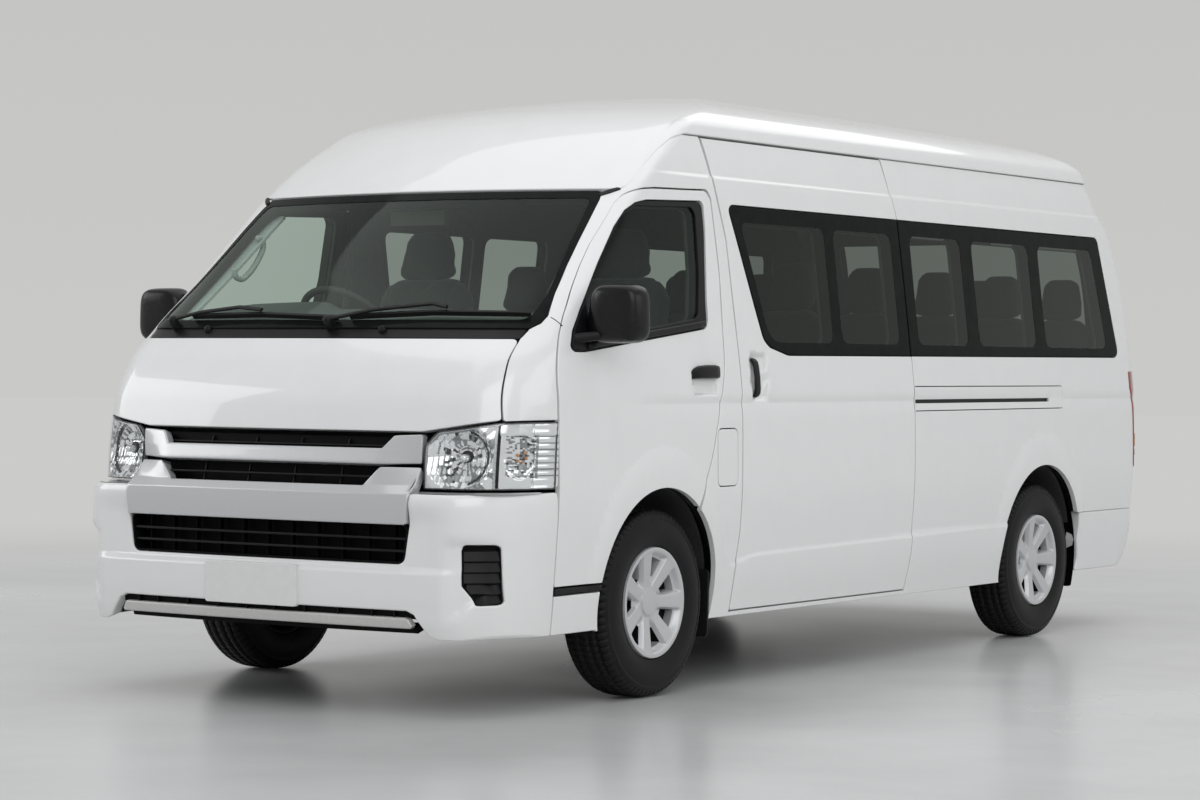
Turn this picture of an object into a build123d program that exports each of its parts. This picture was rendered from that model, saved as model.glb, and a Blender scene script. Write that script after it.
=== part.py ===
"""A high-roof minibus: hollow cabin of split panels, hinged doors, steered front wheels.

Millimetres. +Z up, the nose faces -Y, the vehicle's left side is +X.
The origin is on the ground, under the middle of the vehicle.
"""
from build123d import *
import math
import os

os.makedirs("parts", exist_ok=True)

# ---- Driving dimensions -------------------------------------------------------------
LENGTH = 5380
WIDTH = 1880
HEIGHT = 2250
WHEELBASE = 3110
FRONT_OVERHANG = 1075
FRONT_TRACK = 1655
REAR_TRACK = 1650

SILL_Z = 250            # lowest edge of the body sides
CREASE_Z = 470          # lower crease line
BUMPER_TOP_Z = 745
SHOULDER_Z = 1030       # crease under the windows
BELT_Z = 1285           # foot of the windscreen
BRACE_Z = 1460          # where the tail starts to lean in
SCREEN_TOP_Z = 1785
UPPER_CREASE_Z = 1860
GUTTER_Z = 2010

WALL = 50               # thickness of doors and walls
FRONT_WALL = 70         # the same, measured level through the raked front
SKIN = 12               # depth of the outer flange of a door, and of a window's rebate
GLASS = 6
FIT = 0.3               # clearance of a fixed piece in its seat
DOOR_GAP = 5            # clearance around a moving panel
FLANGE = 15             # how far a door's skin reaches past its inner part
GLASS_LAP = 22          # how far a pane reaches past its aperture

TYRE_RADIUS = 334
TYRE_WIDTH = 195
RIM_RADIUS = 190
HUB_BORE = 53           # radius of the wheel's centre bore
HUB_GAP = 0.3           # clearance of the hub in the wheel's bore
KINGPIN_X = 755
STEER_ROOM = 26         # clearance of the lower front pieces around the tyre
FRONT_ARCH = (25, 360, 375)     # centre behind the front axle, its height, radius
REAR_ARCH = (3130, 360, 385)
WELL_RADIUS = 420       # inner wheelhouse
WELL_X = 530            # inner face of the front wheelhouse

NOSE_Y = -LENGTH / 2
TAIL_Y = LENGTH / 2
HALF = WIDTH / 2
FRONT_AXLE_Y = NOSE_Y + FRONT_OVERHANG
REAR_AXLE_Y = FRONT_AXLE_Y + WHEELBASE

PARTS = {}


# ---- Helpers ------------------------------------------------------------------------
def behind(distance):
    """Y of a place that far behind the front axle."""
    return FRONT_AXLE_Y + distance


def side_face(points, x=0):
    """Face in a plane of constant x; points are (distance behind the front axle, z)."""
    return Face(Wire.make_polygon([Vector(x, behind(d), z) for d, z in points], close=True))


def front_face(points, y=0):
    """Face in a plane of constant y; points are (x, z)."""
    return Face(Wire.make_polygon([Vector(x, y, z) for x, z in points], close=True))


def grown(face, amount):
    return face if amount == 0 else offset(face, amount, kind=Kind.INTERSECTION)


def side_prism(points, grow=0, low=100, high=HALF + 300):
    """Side outline extended along x, from low to high."""
    return extrude(grown(side_face(points, low), grow), high - low, dir=(1, 0, 0))


def front_prism(points, grow=0, start=-1200, end=350):
    """Front outline extended along y; start and end are behind the front axle."""
    return extrude(grown(front_face(points, behind(start)), grow), end - start, dir=(0, 1, 0))


def box(x0, x1, d0, d1, z0, z1):
    """Block between two x, two distances behind the front axle and two heights."""
    return Pos((x0 + x1) / 2, behind((d0 + d1) / 2), (z0 + z1) / 2) * Box(x1 - x0, d1 - d0, z1 - z0)


def across(radius, x0, x1, distance, z):
    """Cylinder along x."""
    place = Pos((x0 + x1) / 2, behind(distance), z) * Rot(0, 90, 0)
    return place * Cylinder(radius, x1 - x0)


def rod(start, end, radius):
    """Round bar between two points (x, distance behind the front axle, z)."""
    a = Vector(start[0], behind(start[1]), start[2])
    b = Vector(end[0], behind(end[1]), end[2])
    return Solid.extrude(Face(Wire.make_circle(radius, Plane(a, z_dir=b - a))), b - a)


def turned(points):
    """Ring about the x axis from (radius, x) points."""
    ring = Face(Wire.make_polygon([Vector(x, 0, r) for r, x in points], close=True))
    return revolve(ring, Axis.X, 360)


def both(points):
    """Front outline made whole from its left half, listed from the foot up."""
    return [(-x, z) for x, z in reversed(points)] + list(points)


def mirrored(shape):
    return mirror(shape, about=Plane.YZ)


def pair(shape):
    return shape + mirrored(shape)


def keep(name, shape):
    """Give a finished piece its name."""
    PARTS[name] = shape


def keep_pair(stem, left):
    keep(stem + "_left", left)
    keep(stem + "_right", mirrored(left))


# ---- Body envelope ------------------------------------------------------------------
# Level outlines of the body. z; tuck: side inboard of HALF; nose: middle of the front behind
# NOSE_Y; corner: width of the front corner; bow: the corner's start behind the middle;
# flank: where the side starts, behind NOSE_Y; tail: middle of the rear ahead of TAIL_Y;
# lean: share of the wall that lies below the skin instead of inside it.
COLUMNS = ("z", "tuck", "nose", "corner", "bow", "flank", "tail", "lean")
STATIONS = [dict(zip(COLUMNS, row)) for row in [
    (SILL_Z,          35,   75, 300,  60, 440,   75, 0.0),
    (CREASE_Z,        15,   70, 310,  60, 440,   66, 0.0),
    (BUMPER_TOP_Z,     0,   75, 310,  55, 450,   64, 0.0),
    (SHOULDER_Z,       5,  115, 300,  55, 475,   62, 0.0),
    (BELT_Z,          32,  285, 180,  85, 590,   60, 0.0),
    (BRACE_Z,         53,  487, 150, 105, 770,   70, 0.0),
    (SCREEN_TOP_Z,    92,  845, 130, 125, 1090, 170, 0.0),
    (UPPER_CREASE_Z, 102,  935, 135, 130, 1190, 250, 0.0),
    (GUTTER_Z,       135, 1150, 160, 130, 1440, 330, 0.0),
    (GUTTER_Z + 50,  150, 1255, 170, 125, 1530, 340, 0.4),
    (GUTTER_Z + 90,  190, 1375, 180, 120, 1640, 375, 0.8),
    (GUTTER_Z + 120, 250, 1505, 180, 110, 1760, 455, 1.0),
    (GUTTER_Z + 150, 340, 1665, 170, 100, 1900, 585, 1.0),
    (GUTTER_Z + 180, 470, 1895, 150,  80, 2080, 755, 1.0),
    (GUTTER_Z + 210, 630, 2175, 120,  60, 2310, 1005, 1.0),
    (HEIGHT,         820, 2575,  60,  30, 2660, 1405, 1.0),
]]
REAR_CORNER = 200       # reach of the rear corners, less where the roof is narrow


def outline(row, inset=0):
    """Level outline of the body at a station, moved in by inset, as a wire of eight edges."""
    side_in = inset * (1 - row["lean"])
    front_in = side_in * FRONT_WALL / WALL
    z = row["z"] - inset * row["lean"]
    half = HALF - row["tuck"]
    turn_x = half - row["corner"]
    nose = NOSE_Y + row["nose"] + front_in
    turn_y = nose + row["bow"]
    flank = NOSE_Y + row["flank"]
    rear = TAIL_Y - row["tail"] - side_in
    reach = min(REAR_CORNER, half * 0.6)
    hip = rear - reach
    x = half - side_in
    q = math.sqrt(0.5)
    rear_turn = half - reach
    front_mid = (turn_x + (x - turn_x) * q, flank - (flank - turn_y) * q)
    rear_mid = (rear_turn + (x - rear_turn) * q, hip + (rear - hip) * q)
    left = [(turn_x, turn_y), front_mid, (x, flank), (x, hip), rear_mid, (rear_turn, rear)]
    a, b, c, d, e, f = [Vector(px, py, z) for px, py in left]
    a2, b2, c2, d2, e2, f2 = [Vector(-px, py, z) for px, py in left]
    return Wire([
        Edge.make_three_point_arc(a2, Vector(0, nose, z), a),
        Edge.make_three_point_arc(a, b, c),
        Edge.make_line(c, d),
        Edge.make_three_point_arc(d, e, f),
        Edge.make_line(f, f2),
        Edge.make_three_point_arc(f2, e2, d2),
        Edge.make_line(d2, c2),
        Edge.make_three_point_arc(c2, b2, a2),
    ])


def envelope(inset):
    """Solid inside the body's skin, moved in by inset."""
    return Solid.make_loft([outline(row, inset) for row in STATIONS], ruled=True)


BODY = envelope(0)
SHELL = BODY - envelope(WALL)
SKIN_LAYER = BODY - envelope(SKIN)
GLASS_LAYER = BODY - envelope(GLASS)
CABIN = envelope(WALL + FIT)
OUTSIDE = envelope(-FIT)

# Level outlines of the bumpers. z; tuck; nose: middle of the face behind the vehicle's end;
# corner; bow; flank: where the side starts, behind the vehicle's end.
APRON_COLUMNS = ("z", "tuck", "nose", "corner", "bow", "flank")
FRONT_APRON = [dict(zip(APRON_COLUMNS, row)) for row in [
    (SILL_Z,           33, 27, 300, 45, 390),
    (SILL_Z + 80,      25, 12, 300, 45, 395),
    (CREASE_Z,         15, 12, 300, 45, 400),
    (BUMPER_TOP_Z - 60, 2, 14, 300, 47, 425),
    (BUMPER_TOP_Z,      0, 25, 300, 50, 440),
]]
REAR_APRON = [dict(zip(APRON_COLUMNS, row)) for row in [
    (SILL_Z + 10,      34, 105, 270, 8, 375),
    (SILL_Z + 80,      28,  35, 270, 8, 305),
    (CREASE_Z,         15,   0, 270, 8, 270),
    (CREASE_Z + 55,    11,  15, 270, 8, 285),
]]


def apron(rows, end, inset=0):
    """Bumper envelope; end is -1 at the nose and 1 at the tail."""
    wires = []
    for row in rows:
        x = HALF - row["tuck"] - inset
        turn_x = HALF - row["tuck"] - row["corner"]
        face_y = LENGTH / 2 - row["nose"] - inset
        turn_y = face_y - row["bow"]
        flank = LENGTH / 2 - row["flank"]
        q = math.sqrt(0.5)
        mid = (turn_x + (x - turn_x) * q, flank + (turn_y - flank) * q)
        root = flank - 600
        left = [(turn_x, turn_y), mid, (x, flank), (x, root)]
        a, b, c, d = [Vector(px, end * py, row["z"]) for px, py in left]
        a2, b2, c2, d2 = [Vector(-px, end * py, row["z"]) for px, py in left]
        wires.append(Wire([
            Edge.make_three_point_arc(a2, Vector(0, end * face_y, row["z"]), a),
            Edge.make_three_point_arc(a, b, c),
            Edge.make_line(c, d),
            Edge.make_line(d, d2),
            Edge.make_line(d2, c2),
            Edge.make_three_point_arc(c2, b2, a2),
        ]))
    return Solid.make_loft(wires, ruled=True)


# ---- Panel outlines: (distance behind the front axle, z), or (x, z) seen from the front ----
DOOR = [(-633, 420), (-633, 1050), (-600, 1270), (-372, 1535), (-164, 1748), (-90, 1786),
        (0, 1800), (440, 1806), (469, 1779), (485, 1505), (461, 1158), (420, 1045),
        (351, 829), (251, 656), (150, 420)]
DOOR_PANE = [(-438, 1238), (-438, 1352), (-335, 1476), (-110, 1712), (70, 1754), (403, 1758),
             (398, 1500), (372, 1330)]
SAIL = [(-548, 1222), (-442, 1349), (-442, 1236)]
SLIDER = [(570, 272), (570, 1150), (554, 1630), (499, 1860), (464, 2004), (1845, 2004),
          (1884, 1860), (1915, 1770), (1925, 1500), (1925, 1000), (1912, 490), (1885, 272)]
BAND = [(588, 1761), (760, 1270), (799, 1242), (933, 1212), (3962, 1222), (3849, 1763)]
BAND_SPLIT = 1918
SLIDER_LIGHTS = [
    [(672, 1700), (800, 1300), (850, 1262), (1305, 1262), (1305, 1700)],
    [(1380, 1262), (1822, 1262), (1822, 1700), (1380, 1700)],
]
REAR_LIGHTS = [
    [(2023, 1262), (2441, 1262), (2441, 1700), (2023, 1700)],
    [(2602, 1262), (3095, 1262), (3095, 1700), (2602, 1700)],
    [(3232, 1262), (3815, 1262), (3735, 1700), (3232, 1700)],
]
ROOF_SIDE = [(-1000, SCREEN_TOP_Z + 4), (-140, SCREEN_TOP_Z + 4), (27, 1877), (177, 1966),
             (274, 1998), (350, GUTTER_Z), (4400, GUTTER_Z), (4400, 2600), (-1000, 2600)]
HEADER = both([(706, SCREEN_TOP_Z - 42), (703, SCREEN_TOP_Z + 4)])
SCREEN = both([(830, BELT_Z), (742, SCREEN_TOP_Z)])
SCREEN_LIGHT = both([(786, BELT_Z + 42), (704, SCREEN_TOP_Z - 42)])
COWL = both([(826, BELT_Z - 20), (818, BELT_Z + 42)])
BONNET = both([(600, 941), (860, 980), (824, BELT_Z - 25)])
NOSE_BAR = both([(612, BUMPER_TOP_Z), (609, 936)])
LOWER_BAR = both([(609, 634), (612, BUMPER_TOP_Z)])
UPPER_SLOT = both([(468, 890), (504, 926)])
LOWER_SLOT = both([(418, 767), (470, 825)])
INTAKE = both([(590, 508), (608, 630)])
THIN_SLOT = both([(616, 332), (616, 352)])
FOG_RECESS = [(800, 384), (836, 374), (884, 374), (884, 570), (800, 570)]
LAMP = [(612.3, BUMPER_TOP_Z + FIT), (960, BUMPER_TOP_Z + FIT), (960, 980), (866, 974),
        (609.3, 936)]
LAMP_END = -633
GATE = both([(760, CREASE_Z + 62), (760, GUTTER_Z - 5)])
GATE_HOLE = both([(760, CREASE_Z + 62), (760, GUTTER_Z + 10)])
GATE_PANE = both([(672, 1215), (640, 1810)])
TAIL_LAMP = [(765, 708), (960, 708), (960, 1164), (765, 1164)]

DOOR_FRONT = -633
DOOR_ROOT = 776         # innermost x of a front door
BUMPER_REAR_START = 3520

NOSE_ZONE = box(-1200, 1200, -1300, DOOR_FRONT, 0, BUMPER_TOP_Z)
REST = SHELL - NOSE_ZONE
TAIL_ZONE = box(-1200, 1200, BUMPER_REAR_START, 4500, 0, CREASE_Z + 55 + FIT)
REST -= TAIL_ZONE
ROOF_ZONE = side_prism(ROOF_SIDE, 0, -1200, 1200) + front_prism(HEADER)
LAMP_ZONE = front_prism(LAMP, 0, -1200, LAMP_END)
ARCHES = [across(radius, 600, 1200, d, z) for d, z, radius in (FRONT_ARCH, REAR_ARCH)]
STEP_ZONE = box(600, 1200, DOOR_FRONT + FIT, -200, 0, 421)


def lower(shape):
    """Take the wheel arches out of a left-hand panel."""
    for arch in ARCHES:
        shape -= arch
    return shape


# ---- Sides --------------------------------------------------------------------------
side_right = REST & box(0, 1200, -1300, 4500, 0, 2400)
side_right -= side_prism(ROOF_SIDE, FIT, -1200, 1200) + front_prism(HEADER, FIT)
side_right -= front_prism(SCREEN_LIGHT) + front_prism(COWL, FIT) + front_prism(BONNET, DOOR_GAP)
side_right -= front_prism(NOSE_BAR, FIT)
side_right -= front_prism(LAMP, FIT, -1200, LAMP_END + FIT)
side_right -= front_prism(GATE_HOLE, 0, 3500, 4500)
side_right -= front_prism(TAIL_LAMP, FIT, 4040, 4500)
side_right -= SKIN_LAYER & front_prism(SCREEN, FIT)
side_right -= side_prism(DOOR, 0, DOOR_ROOT)
side_right -= box(600, 1200, DOOR_FRONT - 1, -200, 0, 421)
side_right = lower(side_right)
side_left = side_right
side_right -= SKIN_LAYER & side_prism(BAND, FIT)
for light in SLIDER_LIGHTS + REAR_LIGHTS:
    side_right -= side_prism(light)
keep("body_side_right", mirrored(side_right))

slider_hole = (SKIN_LAYER & side_prism(SLIDER, FIT)) + side_prism(SLIDER, FIT - FLANGE)
side_left -= slider_hole
side_left -= SKIN_LAYER & side_prism(BAND, FIT)
for light in REAR_LIGHTS:
    side_left -= side_prism(light)
keep("body_side_left", side_left)

slider = SHELL & side_prism(SLIDER, -FLANGE)
slider += SKIN_LAYER & side_prism(SLIDER)
slider -= SKIN_LAYER & side_prism(BAND, FIT)
for light in SLIDER_LIGHTS:
    slider -= side_prism(light)
HANDLE_D, HANDLE_Z = 680, 1128
handle_recess = box(905, 1000, HANDLE_D - 36, HANDLE_D + 36, HANDLE_Z - 90, HANDLE_Z + 90)
slider -= handle_recess
keep("sliding_door", slider)
grip = box(905 + FIT, 930, HANDLE_D - 18, HANDLE_D + 18, HANDLE_Z - 72, HANDLE_Z + 72)
keep("sliding_door_handle", grip - box(900, 922, HANDLE_D - 20, HANDLE_D + 20,
                                       HANDLE_Z - 50, HANDLE_Z + 50))

band_glass = GLASS_LAYER & side_prism(BAND)
keep("sliding_door_glass", band_glass & box(0, 1200, 0, BAND_SPLIT - 3, 0, 2400))
keep("side_glass_left", band_glass & box(0, 1200, BAND_SPLIT + 3, 4500, 0, 2400))
keep("side_glass_right", mirrored(band_glass))

# ---- Roof, screen and cowl ----------------------------------------------------------
roof = (SHELL & ROOF_ZONE) - (SKIN_LAYER & front_prism(SCREEN, FIT))
keep("roof", roof)
keep("windscreen", GLASS_LAYER & front_prism(SCREEN))
cowl = SHELL & front_prism(COWL)
cowl -= SKIN_LAYER & front_prism(SCREEN, FIT)
keep("cowl_panel", cowl)



def screen_point(x, z, lift):
    """Point in front of the windscreen's middle part, as (x, distance behind the axle, z)."""
    foot, top = STATIONS[4], STATIONS[5]
    t = (z - foot["z"]) / (top["z"] - foot["z"])
    nose = foot["nose"] + (top["nose"] - foot["nose"]) * t
    bow = foot["bow"] + (top["bow"] - foot["bow"]) * t
    turn_x = HALF - foot["tuck"] - foot["corner"]
    return x, nose + bow * (x / turn_x) ** 2 - FRONT_OVERHANG - lift, z


wipers = None
for spots, spindle in (((-670, -420, -170, 70), -650), ((90, 330, 560, 720), 110)):
    points = [screen_point(x, 1322, 16) for x in spots]
    bars = [rod(a, b, 9) for a, b in zip(points, points[1:])]
    bars.append(rod(screen_point(spindle, 1290, -10), screen_point(spindle, 1312, 22), 14))
    for bar in bars:
        wipers = bar if wipers is None else wipers + bar
keep("wipers", wipers - OUTSIDE)

# ---- Nose ---------------------------------------------------------------------------
bonnet = (SHELL & front_prism(BONNET, -FLANGE)) + (SKIN_LAYER & front_prism(BONNET))
HINGE_D, HINGE_Z = -803, BELT_Z - 23.3
for x in (-90, 90):
    bonnet += across(3, x - 30, x + 30, HINGE_D, HINGE_Z)
keep("bonnet", bonnet)
nose_shell = apron(FRONT_APRON, -1) - apron(FRONT_APRON, -1, WALL)
thick_nose = apron(FRONT_APRON, -1) - apron(FRONT_APRON, -1, 2 * WALL)
front_bumper = nose_shell & box(-1200, 1200, -1200, DOOR_FRONT, 0, 900)
front_bumper -= front_prism(LOWER_BAR, FIT, -1200, -700)
front_bumper -= front_prism(INTAKE, 0, -1200, -700)
front_bumper -= front_prism(THIN_SLOT, 0, -1200, -700)
fog = front_prism(FOG_RECESS, 0, -1200, -860)
front_bumper -= pair(fog) & (apron(FRONT_APRON, -1) - apron(FRONT_APRON, -1, 30))
keep("front_bumper", front_bumper)
garnish = SHELL & front_prism(NOSE_BAR, 0, -1200, -700)
garnish += thick_nose & front_prism(LOWER_BAR, 0, -1200, -700)
garnish -= front_prism(UPPER_SLOT, 0, -1200, -700)
garnish -= front_prism(LOWER_SLOT, 0, -1200, -700)
keep("front_garnish", garnish)

intake_layer = apron(FRONT_APRON, -1, 22) - apron(FRONT_APRON, -1, 34)
slots = intake_layer & front_prism(INTAKE, -FIT, -1200, -700)
for low in (512, 552, 592):
    for x in range(-560, 561, 160):
        slots -= box(x + 8, x + 152, -1200, -700, low + 6, low + 34)
fog_layer = apron(FRONT_APRON, -1, 20) - apron(FRONT_APRON, -1, 30 - FIT)
keep("intake_grilles", slots + pair(fog_layer & front_prism(FOG_RECESS, -FIT, -1200, -860)))

PLATE_W, PLATE_H, PLATE_Z = 360, 140, 420
plate_d = -FRONT_OVERHANG
plate = box(-PLATE_W / 2, PLATE_W / 2, plate_d, plate_d + 30,
            PLATE_Z - PLATE_H / 2, PLATE_Z + PLATE_H / 2)
keep("front_plate", plate - apron(FRONT_APRON, -1, -FIT))

lamp = SHELL & LAMP_ZONE
lens = GLASS_LAYER & LAMP_ZONE
keep("headlamps", pair(lamp - SKIN_LAYER))
keep("headlamp_lenses", pair(lens))

# ---- Front doors --------------------------------------------------------------------
leaf = SHELL & side_prism(DOOR, -DOOR_GAP - FLANGE, DOOR_ROOT)
leaf += SKIN_LAYER & side_prism(DOOR, -DOOR_GAP, DOOR_ROOT)
leaf = lower(leaf)
leaf -= SKIN_LAYER & side_prism(DOOR_PANE, FIT)
leaf -= SKIN_LAYER & side_prism(SAIL, FIT)
leaf -= side_prism(DOOR_PANE, -GLASS_LAP)
for z in (690, 1000):
    leaf += Pos(937, behind(-630), z) * Cylinder(2.7, 50)
keep_pair("front_door", leaf)
keep_pair("front_door_glass", GLASS_LAYER & side_prism(DOOR_PANE))
sail = SKIN_LAYER & side_prism(SAIL)
head = box(928, 1122, -455, -352, 1242, 1452)
head = fillet(head.edges(), 22)
arm = rod((912, -488, 1259), (985, -415, 1285), 17)
keep_pair("mirror", sail + head + arm)
handle = box(915, 950, 222, 408, 1120, 1166) - box(900, 939, 245, 385, 1112, 1174)
keep_pair("door_handle", handle - OUTSIDE)

steps = STEP_ZONE & SHELL & box(0, 1200, DOOR_FRONT + FIT, -200, 0, 400)
steps = lower(steps) - across(TYRE_RADIUS + STEER_ROOM, 600, 1200, 0, TYRE_RADIUS)
keep("door_steps", pair(steps))

# ---- Tail ---------------------------------------------------------------------------
gate = SHELL & front_prism(GATE, -DOOR_GAP, 3500, 4500)
gate -= SKIN_LAYER & front_prism(GATE_PANE, FIT, 3500, 4500)
gate -= front_prism(GATE_PANE, -GLASS_LAP * 2, 3500, 4500)
for x in (-400, 400):
    gate += across(4.7, x - 40, x + 40, 3972, GUTTER_Z - 5)
    gate += box(x - 40, x + 40, 3950, 3972, 1990, 2003)
keep("tailgate", gate)
keep("tailgate_glass", GLASS_LAYER & front_prism(GATE_PANE, 0, 3500, 4500))
tail_shell = apron(REAR_APRON, 1) - apron(REAR_APRON, 1, WALL)
rear_bumper = tail_shell & box(-1200, 1200, BUMPER_REAR_START, 4500, 0, 900)
keep("rear_bumper", lower(mirrored(lower(rear_bumper))))
keep("tail_lamps", pair(SHELL & front_prism(TAIL_LAMP, 0, 4040, 4500)))
rear_y = LENGTH - FRONT_OVERHANG
plate = box(-PLATE_W / 2, PLATE_W / 2, rear_y - 70, rear_y - 54, 800, 940)
keep("rear_plate", plate - OUTSIDE)

# ---- Floor --------------------------------------------------------------------------
cab_floor = box(-900, 900, -960, -400, 420, 460)
cab_floor += box(-900, 900, -990, -950, 420, 700)
cab_floor += box(-900, 900, -400, 460, 420, 780) - box(-500, 500, -370, 430, 0, 740)
cab_floor &= CABIN
cab_floor -= pair(across(WELL_RADIUS, WELL_X, 1200, 0, TYRE_RADIUS))
cab_floor -= pair(box(WELL_X - 40, 600, -110, 110, 150, 560))
keep("cab_floor", cab_floor)
BOX_X, BOX_FRONT, BOX_REAR, BOX_TOP = 600, 2700, 3560, 790      # rear wheel boxes
floor = box(-900, 900, 460 + FIT, 4220, 480, 520) & CABIN
floor -= apron(REAR_APRON, 1) - apron(REAR_APRON, 1, WALL + FIT)
floor -= pair(box(BOX_X - FIT, 950, BOX_FRONT - FIT, BOX_REAR + FIT, 400, 600))
wheel_box = box(BOX_X, 900, BOX_FRONT, BOX_REAR, 480, BOX_TOP) & CABIN
wheel_box -= across(WELL_RADIUS, BOX_X + 40, 1200, WHEELBASE, TYRE_RADIUS)
keep("saloon_floor", Compound([floor, wheel_box, mirrored(wheel_box)]))
HITCH_D = 4080          # rear cross member, bored for a tow bar
HITCH_SPACING = 500
HITCH_HOLE = 6.5
rail = box(350, 450, -900, 520, 330, 420 - FIT) + box(350, 450, 462, 4150, 390, 480 - FIT)
frame = pair(rail)
for distance, low in ((-870, 330), (900, 432), (2300, 432), (HITCH_D, 432)):
    frame += box(-360, 360, distance - 30, distance + 30, low, low + 46)
for x in (-HITCH_SPACING / 2, HITCH_SPACING / 2):
    frame -= Pos(x, behind(HITCH_D), 455) * Cylinder(HITCH_HOLE, 100)
keep("chassis_rails", frame)

# ---- Running gear -------------------------------------------------------------------
mount = box(290, 350 - FIT, -40, 40, 345, 405)
keep("engine_block", box(-300, 300, -340, 400, 330, 700) + pair(mount))
keep("propshaft", rod((0, 401, 372), (0, WHEELBASE - 130.5, 345), 35))
HUB_RADIUS = HUB_BORE - HUB_GAP
AXLE_PROFILE = [(HUB_RADIUS, REAR_TRACK / 2 + 2), (HUB_RADIUS, REAR_TRACK / 2 - 9),
                (80, REAR_TRACK / 2 - 9), (135, 755), (135, 690), (45, 690), (45, 180), (130, 90)]
keep("rear_axle", Pos(0, REAR_AXLE_Y, TYRE_RADIUS) *
     turned([(0, AXLE_PROFILE[0][1])] + AXLE_PROFILE +
            [(r, -x) for r, x in reversed(AXLE_PROFILE)] + [(0, -AXLE_PROFILE[0][1])]))
LEAF = [(2380, 400), (2420, 320), (3060, 256), (3160, 256), (3800, 320), (3840, 400),
        (3815, 400), (3780, 342), (3160, 280), (3060, 280), (2440, 342), (2405, 400)]
leaf_spring = side_prism(LEAF, 0, 460, 530)
leaf_spring += box(460, 530, 3080, 3140, 275, TYRE_RADIUS - 45 - FIT)
hanger = box(450 + FIT, 530, 2375, 2410, 395, 440) + box(450 + FIT, 530, 3810, 3845, 395, 440)
keep("leaf_springs", pair(leaf_spring + hanger))

hub_x = FRONT_TRACK / 2
PIN_RADIUS = 18         # steering pin on the knuckle
PIN_HALF = 118          # its reach above and below the wheel's centre
BALL = 24               # radius of the arms' outer ends
knuckle = turned([(0, hub_x + 2), (HUB_RADIUS, hub_x + 2), (HUB_RADIUS, hub_x - 9),
                  (80, hub_x - 9), (80, 755), (110, 755), (110, 735), (60, 735), (60, 710), (0, 710)])
knuckle = Pos(0, FRONT_AXLE_Y, TYRE_RADIUS) * knuckle
knuckle += Pos(KINGPIN_X, FRONT_AXLE_Y, TYRE_RADIUS) * Cylinder(PIN_RADIUS, 2 * PIN_HALF)
keep_pair("knuckle", knuckle)
low_z = TYRE_RADIUS - PIN_HALF - FIT
high_z = TYRE_RADIUS + PIN_HALF + FIT
ball_low = Pos(KINGPIN_X, FRONT_AXLE_Y, low_z - 13) * Cylinder(BALL, 26)
ball_high = Pos(KINGPIN_X, FRONT_AXLE_Y, high_z + 10) * Cylinder(BALL, 20)
arm_low = rod((300, 0, 262), (740, 0, low_z - 13), 12)
arm_low += rod((330, 200, 262), (700, 0, low_z - 10), 11)
arm_high = rod((400, -60, 440), (735, 0, high_z + 12), 10)
arm_high += rod((400, 60, 440), (735, 0, high_z + 12), 10)
bracket = box(360, 440, -75, 75, 420, 452)
cross = box(-350, 350, -60, 60, 240, 330 - FIT) + pair(box(280, 350, -60, 220, 240, 290))
keep("front_suspension", cross + pair(arm_low + ball_low) + pair(arm_high + ball_high + bracket))

TYRE_PROFILE = [(RIM_RADIUS, 84), (RIM_RADIUS + 16, 88), (235, 95), (270, TYRE_WIDTH / 2),
                (300, 92), (322, 82), (331, 70), (TYRE_RADIUS, 50)]
RIM_PROFILE = [(188, 96), (198, 96), (198, 87), (RIM_RADIUS - FIT, 86), (RIM_RADIUS - FIT, 58),
               (176, 50), (176, -50), (RIM_RADIUS - FIT, -58), (RIM_RADIUS - FIT, -86),
               (198, -87), (198, -96), (188, -96), (184, -60), (168, -48), (168, 48), (184, 60)]


def wheel_set():
    outer = TYRE_PROFILE + [(r, -x) for r, x in reversed(TYRE_PROFILE)]
    inner = [(RIM_RADIUS + 12, -62), (240, -84), (290, -82), (316, -60), (316, 60), (290, 82),
             (240, 84), (RIM_RADIUS + 12, 62)]
    tyre = turned(outer) - turned(inner)
    tyre -= turned([(0, -60), (RIM_RADIUS + 20, -60), (RIM_RADIUS + 20, 60), (0, 60)])
    rim = turned(RIM_PROFILE)
    disc = turned([(HUB_BORE, -8), (170, 22), (170, 30), (HUB_BORE, 4)])
    cover = turned([(0, 44), (60, 44), (165, 66), (188, 84), (188, 92), (60, 54), (0, 54)])
    for k in range(7):
        window = Pos(60, 0, 122) * Box(80, 62, 66)
        cover -= Rot(360 / 7 * k, 0, 0) * window
    rim += disc + cover
    return tyre, rim


tyre, rim = wheel_set()
for name, x, y in (("front_left", hub_x, FRONT_AXLE_Y), ("rear_left", REAR_TRACK / 2, REAR_AXLE_Y)):
    left_tyre = Pos(x, y, TYRE_RADIUS) * tyre
    left_rim = Pos(x, y, TYRE_RADIUS) * rim
    keep("tyre_" + name, left_tyre)
    keep("wheel_" + name, left_rim)
    keep("tyre_" + name.replace("left", "right"), mirrored(left_tyre))
    keep("wheel_" + name.replace("left", "right"), mirrored(left_rim))

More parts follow.
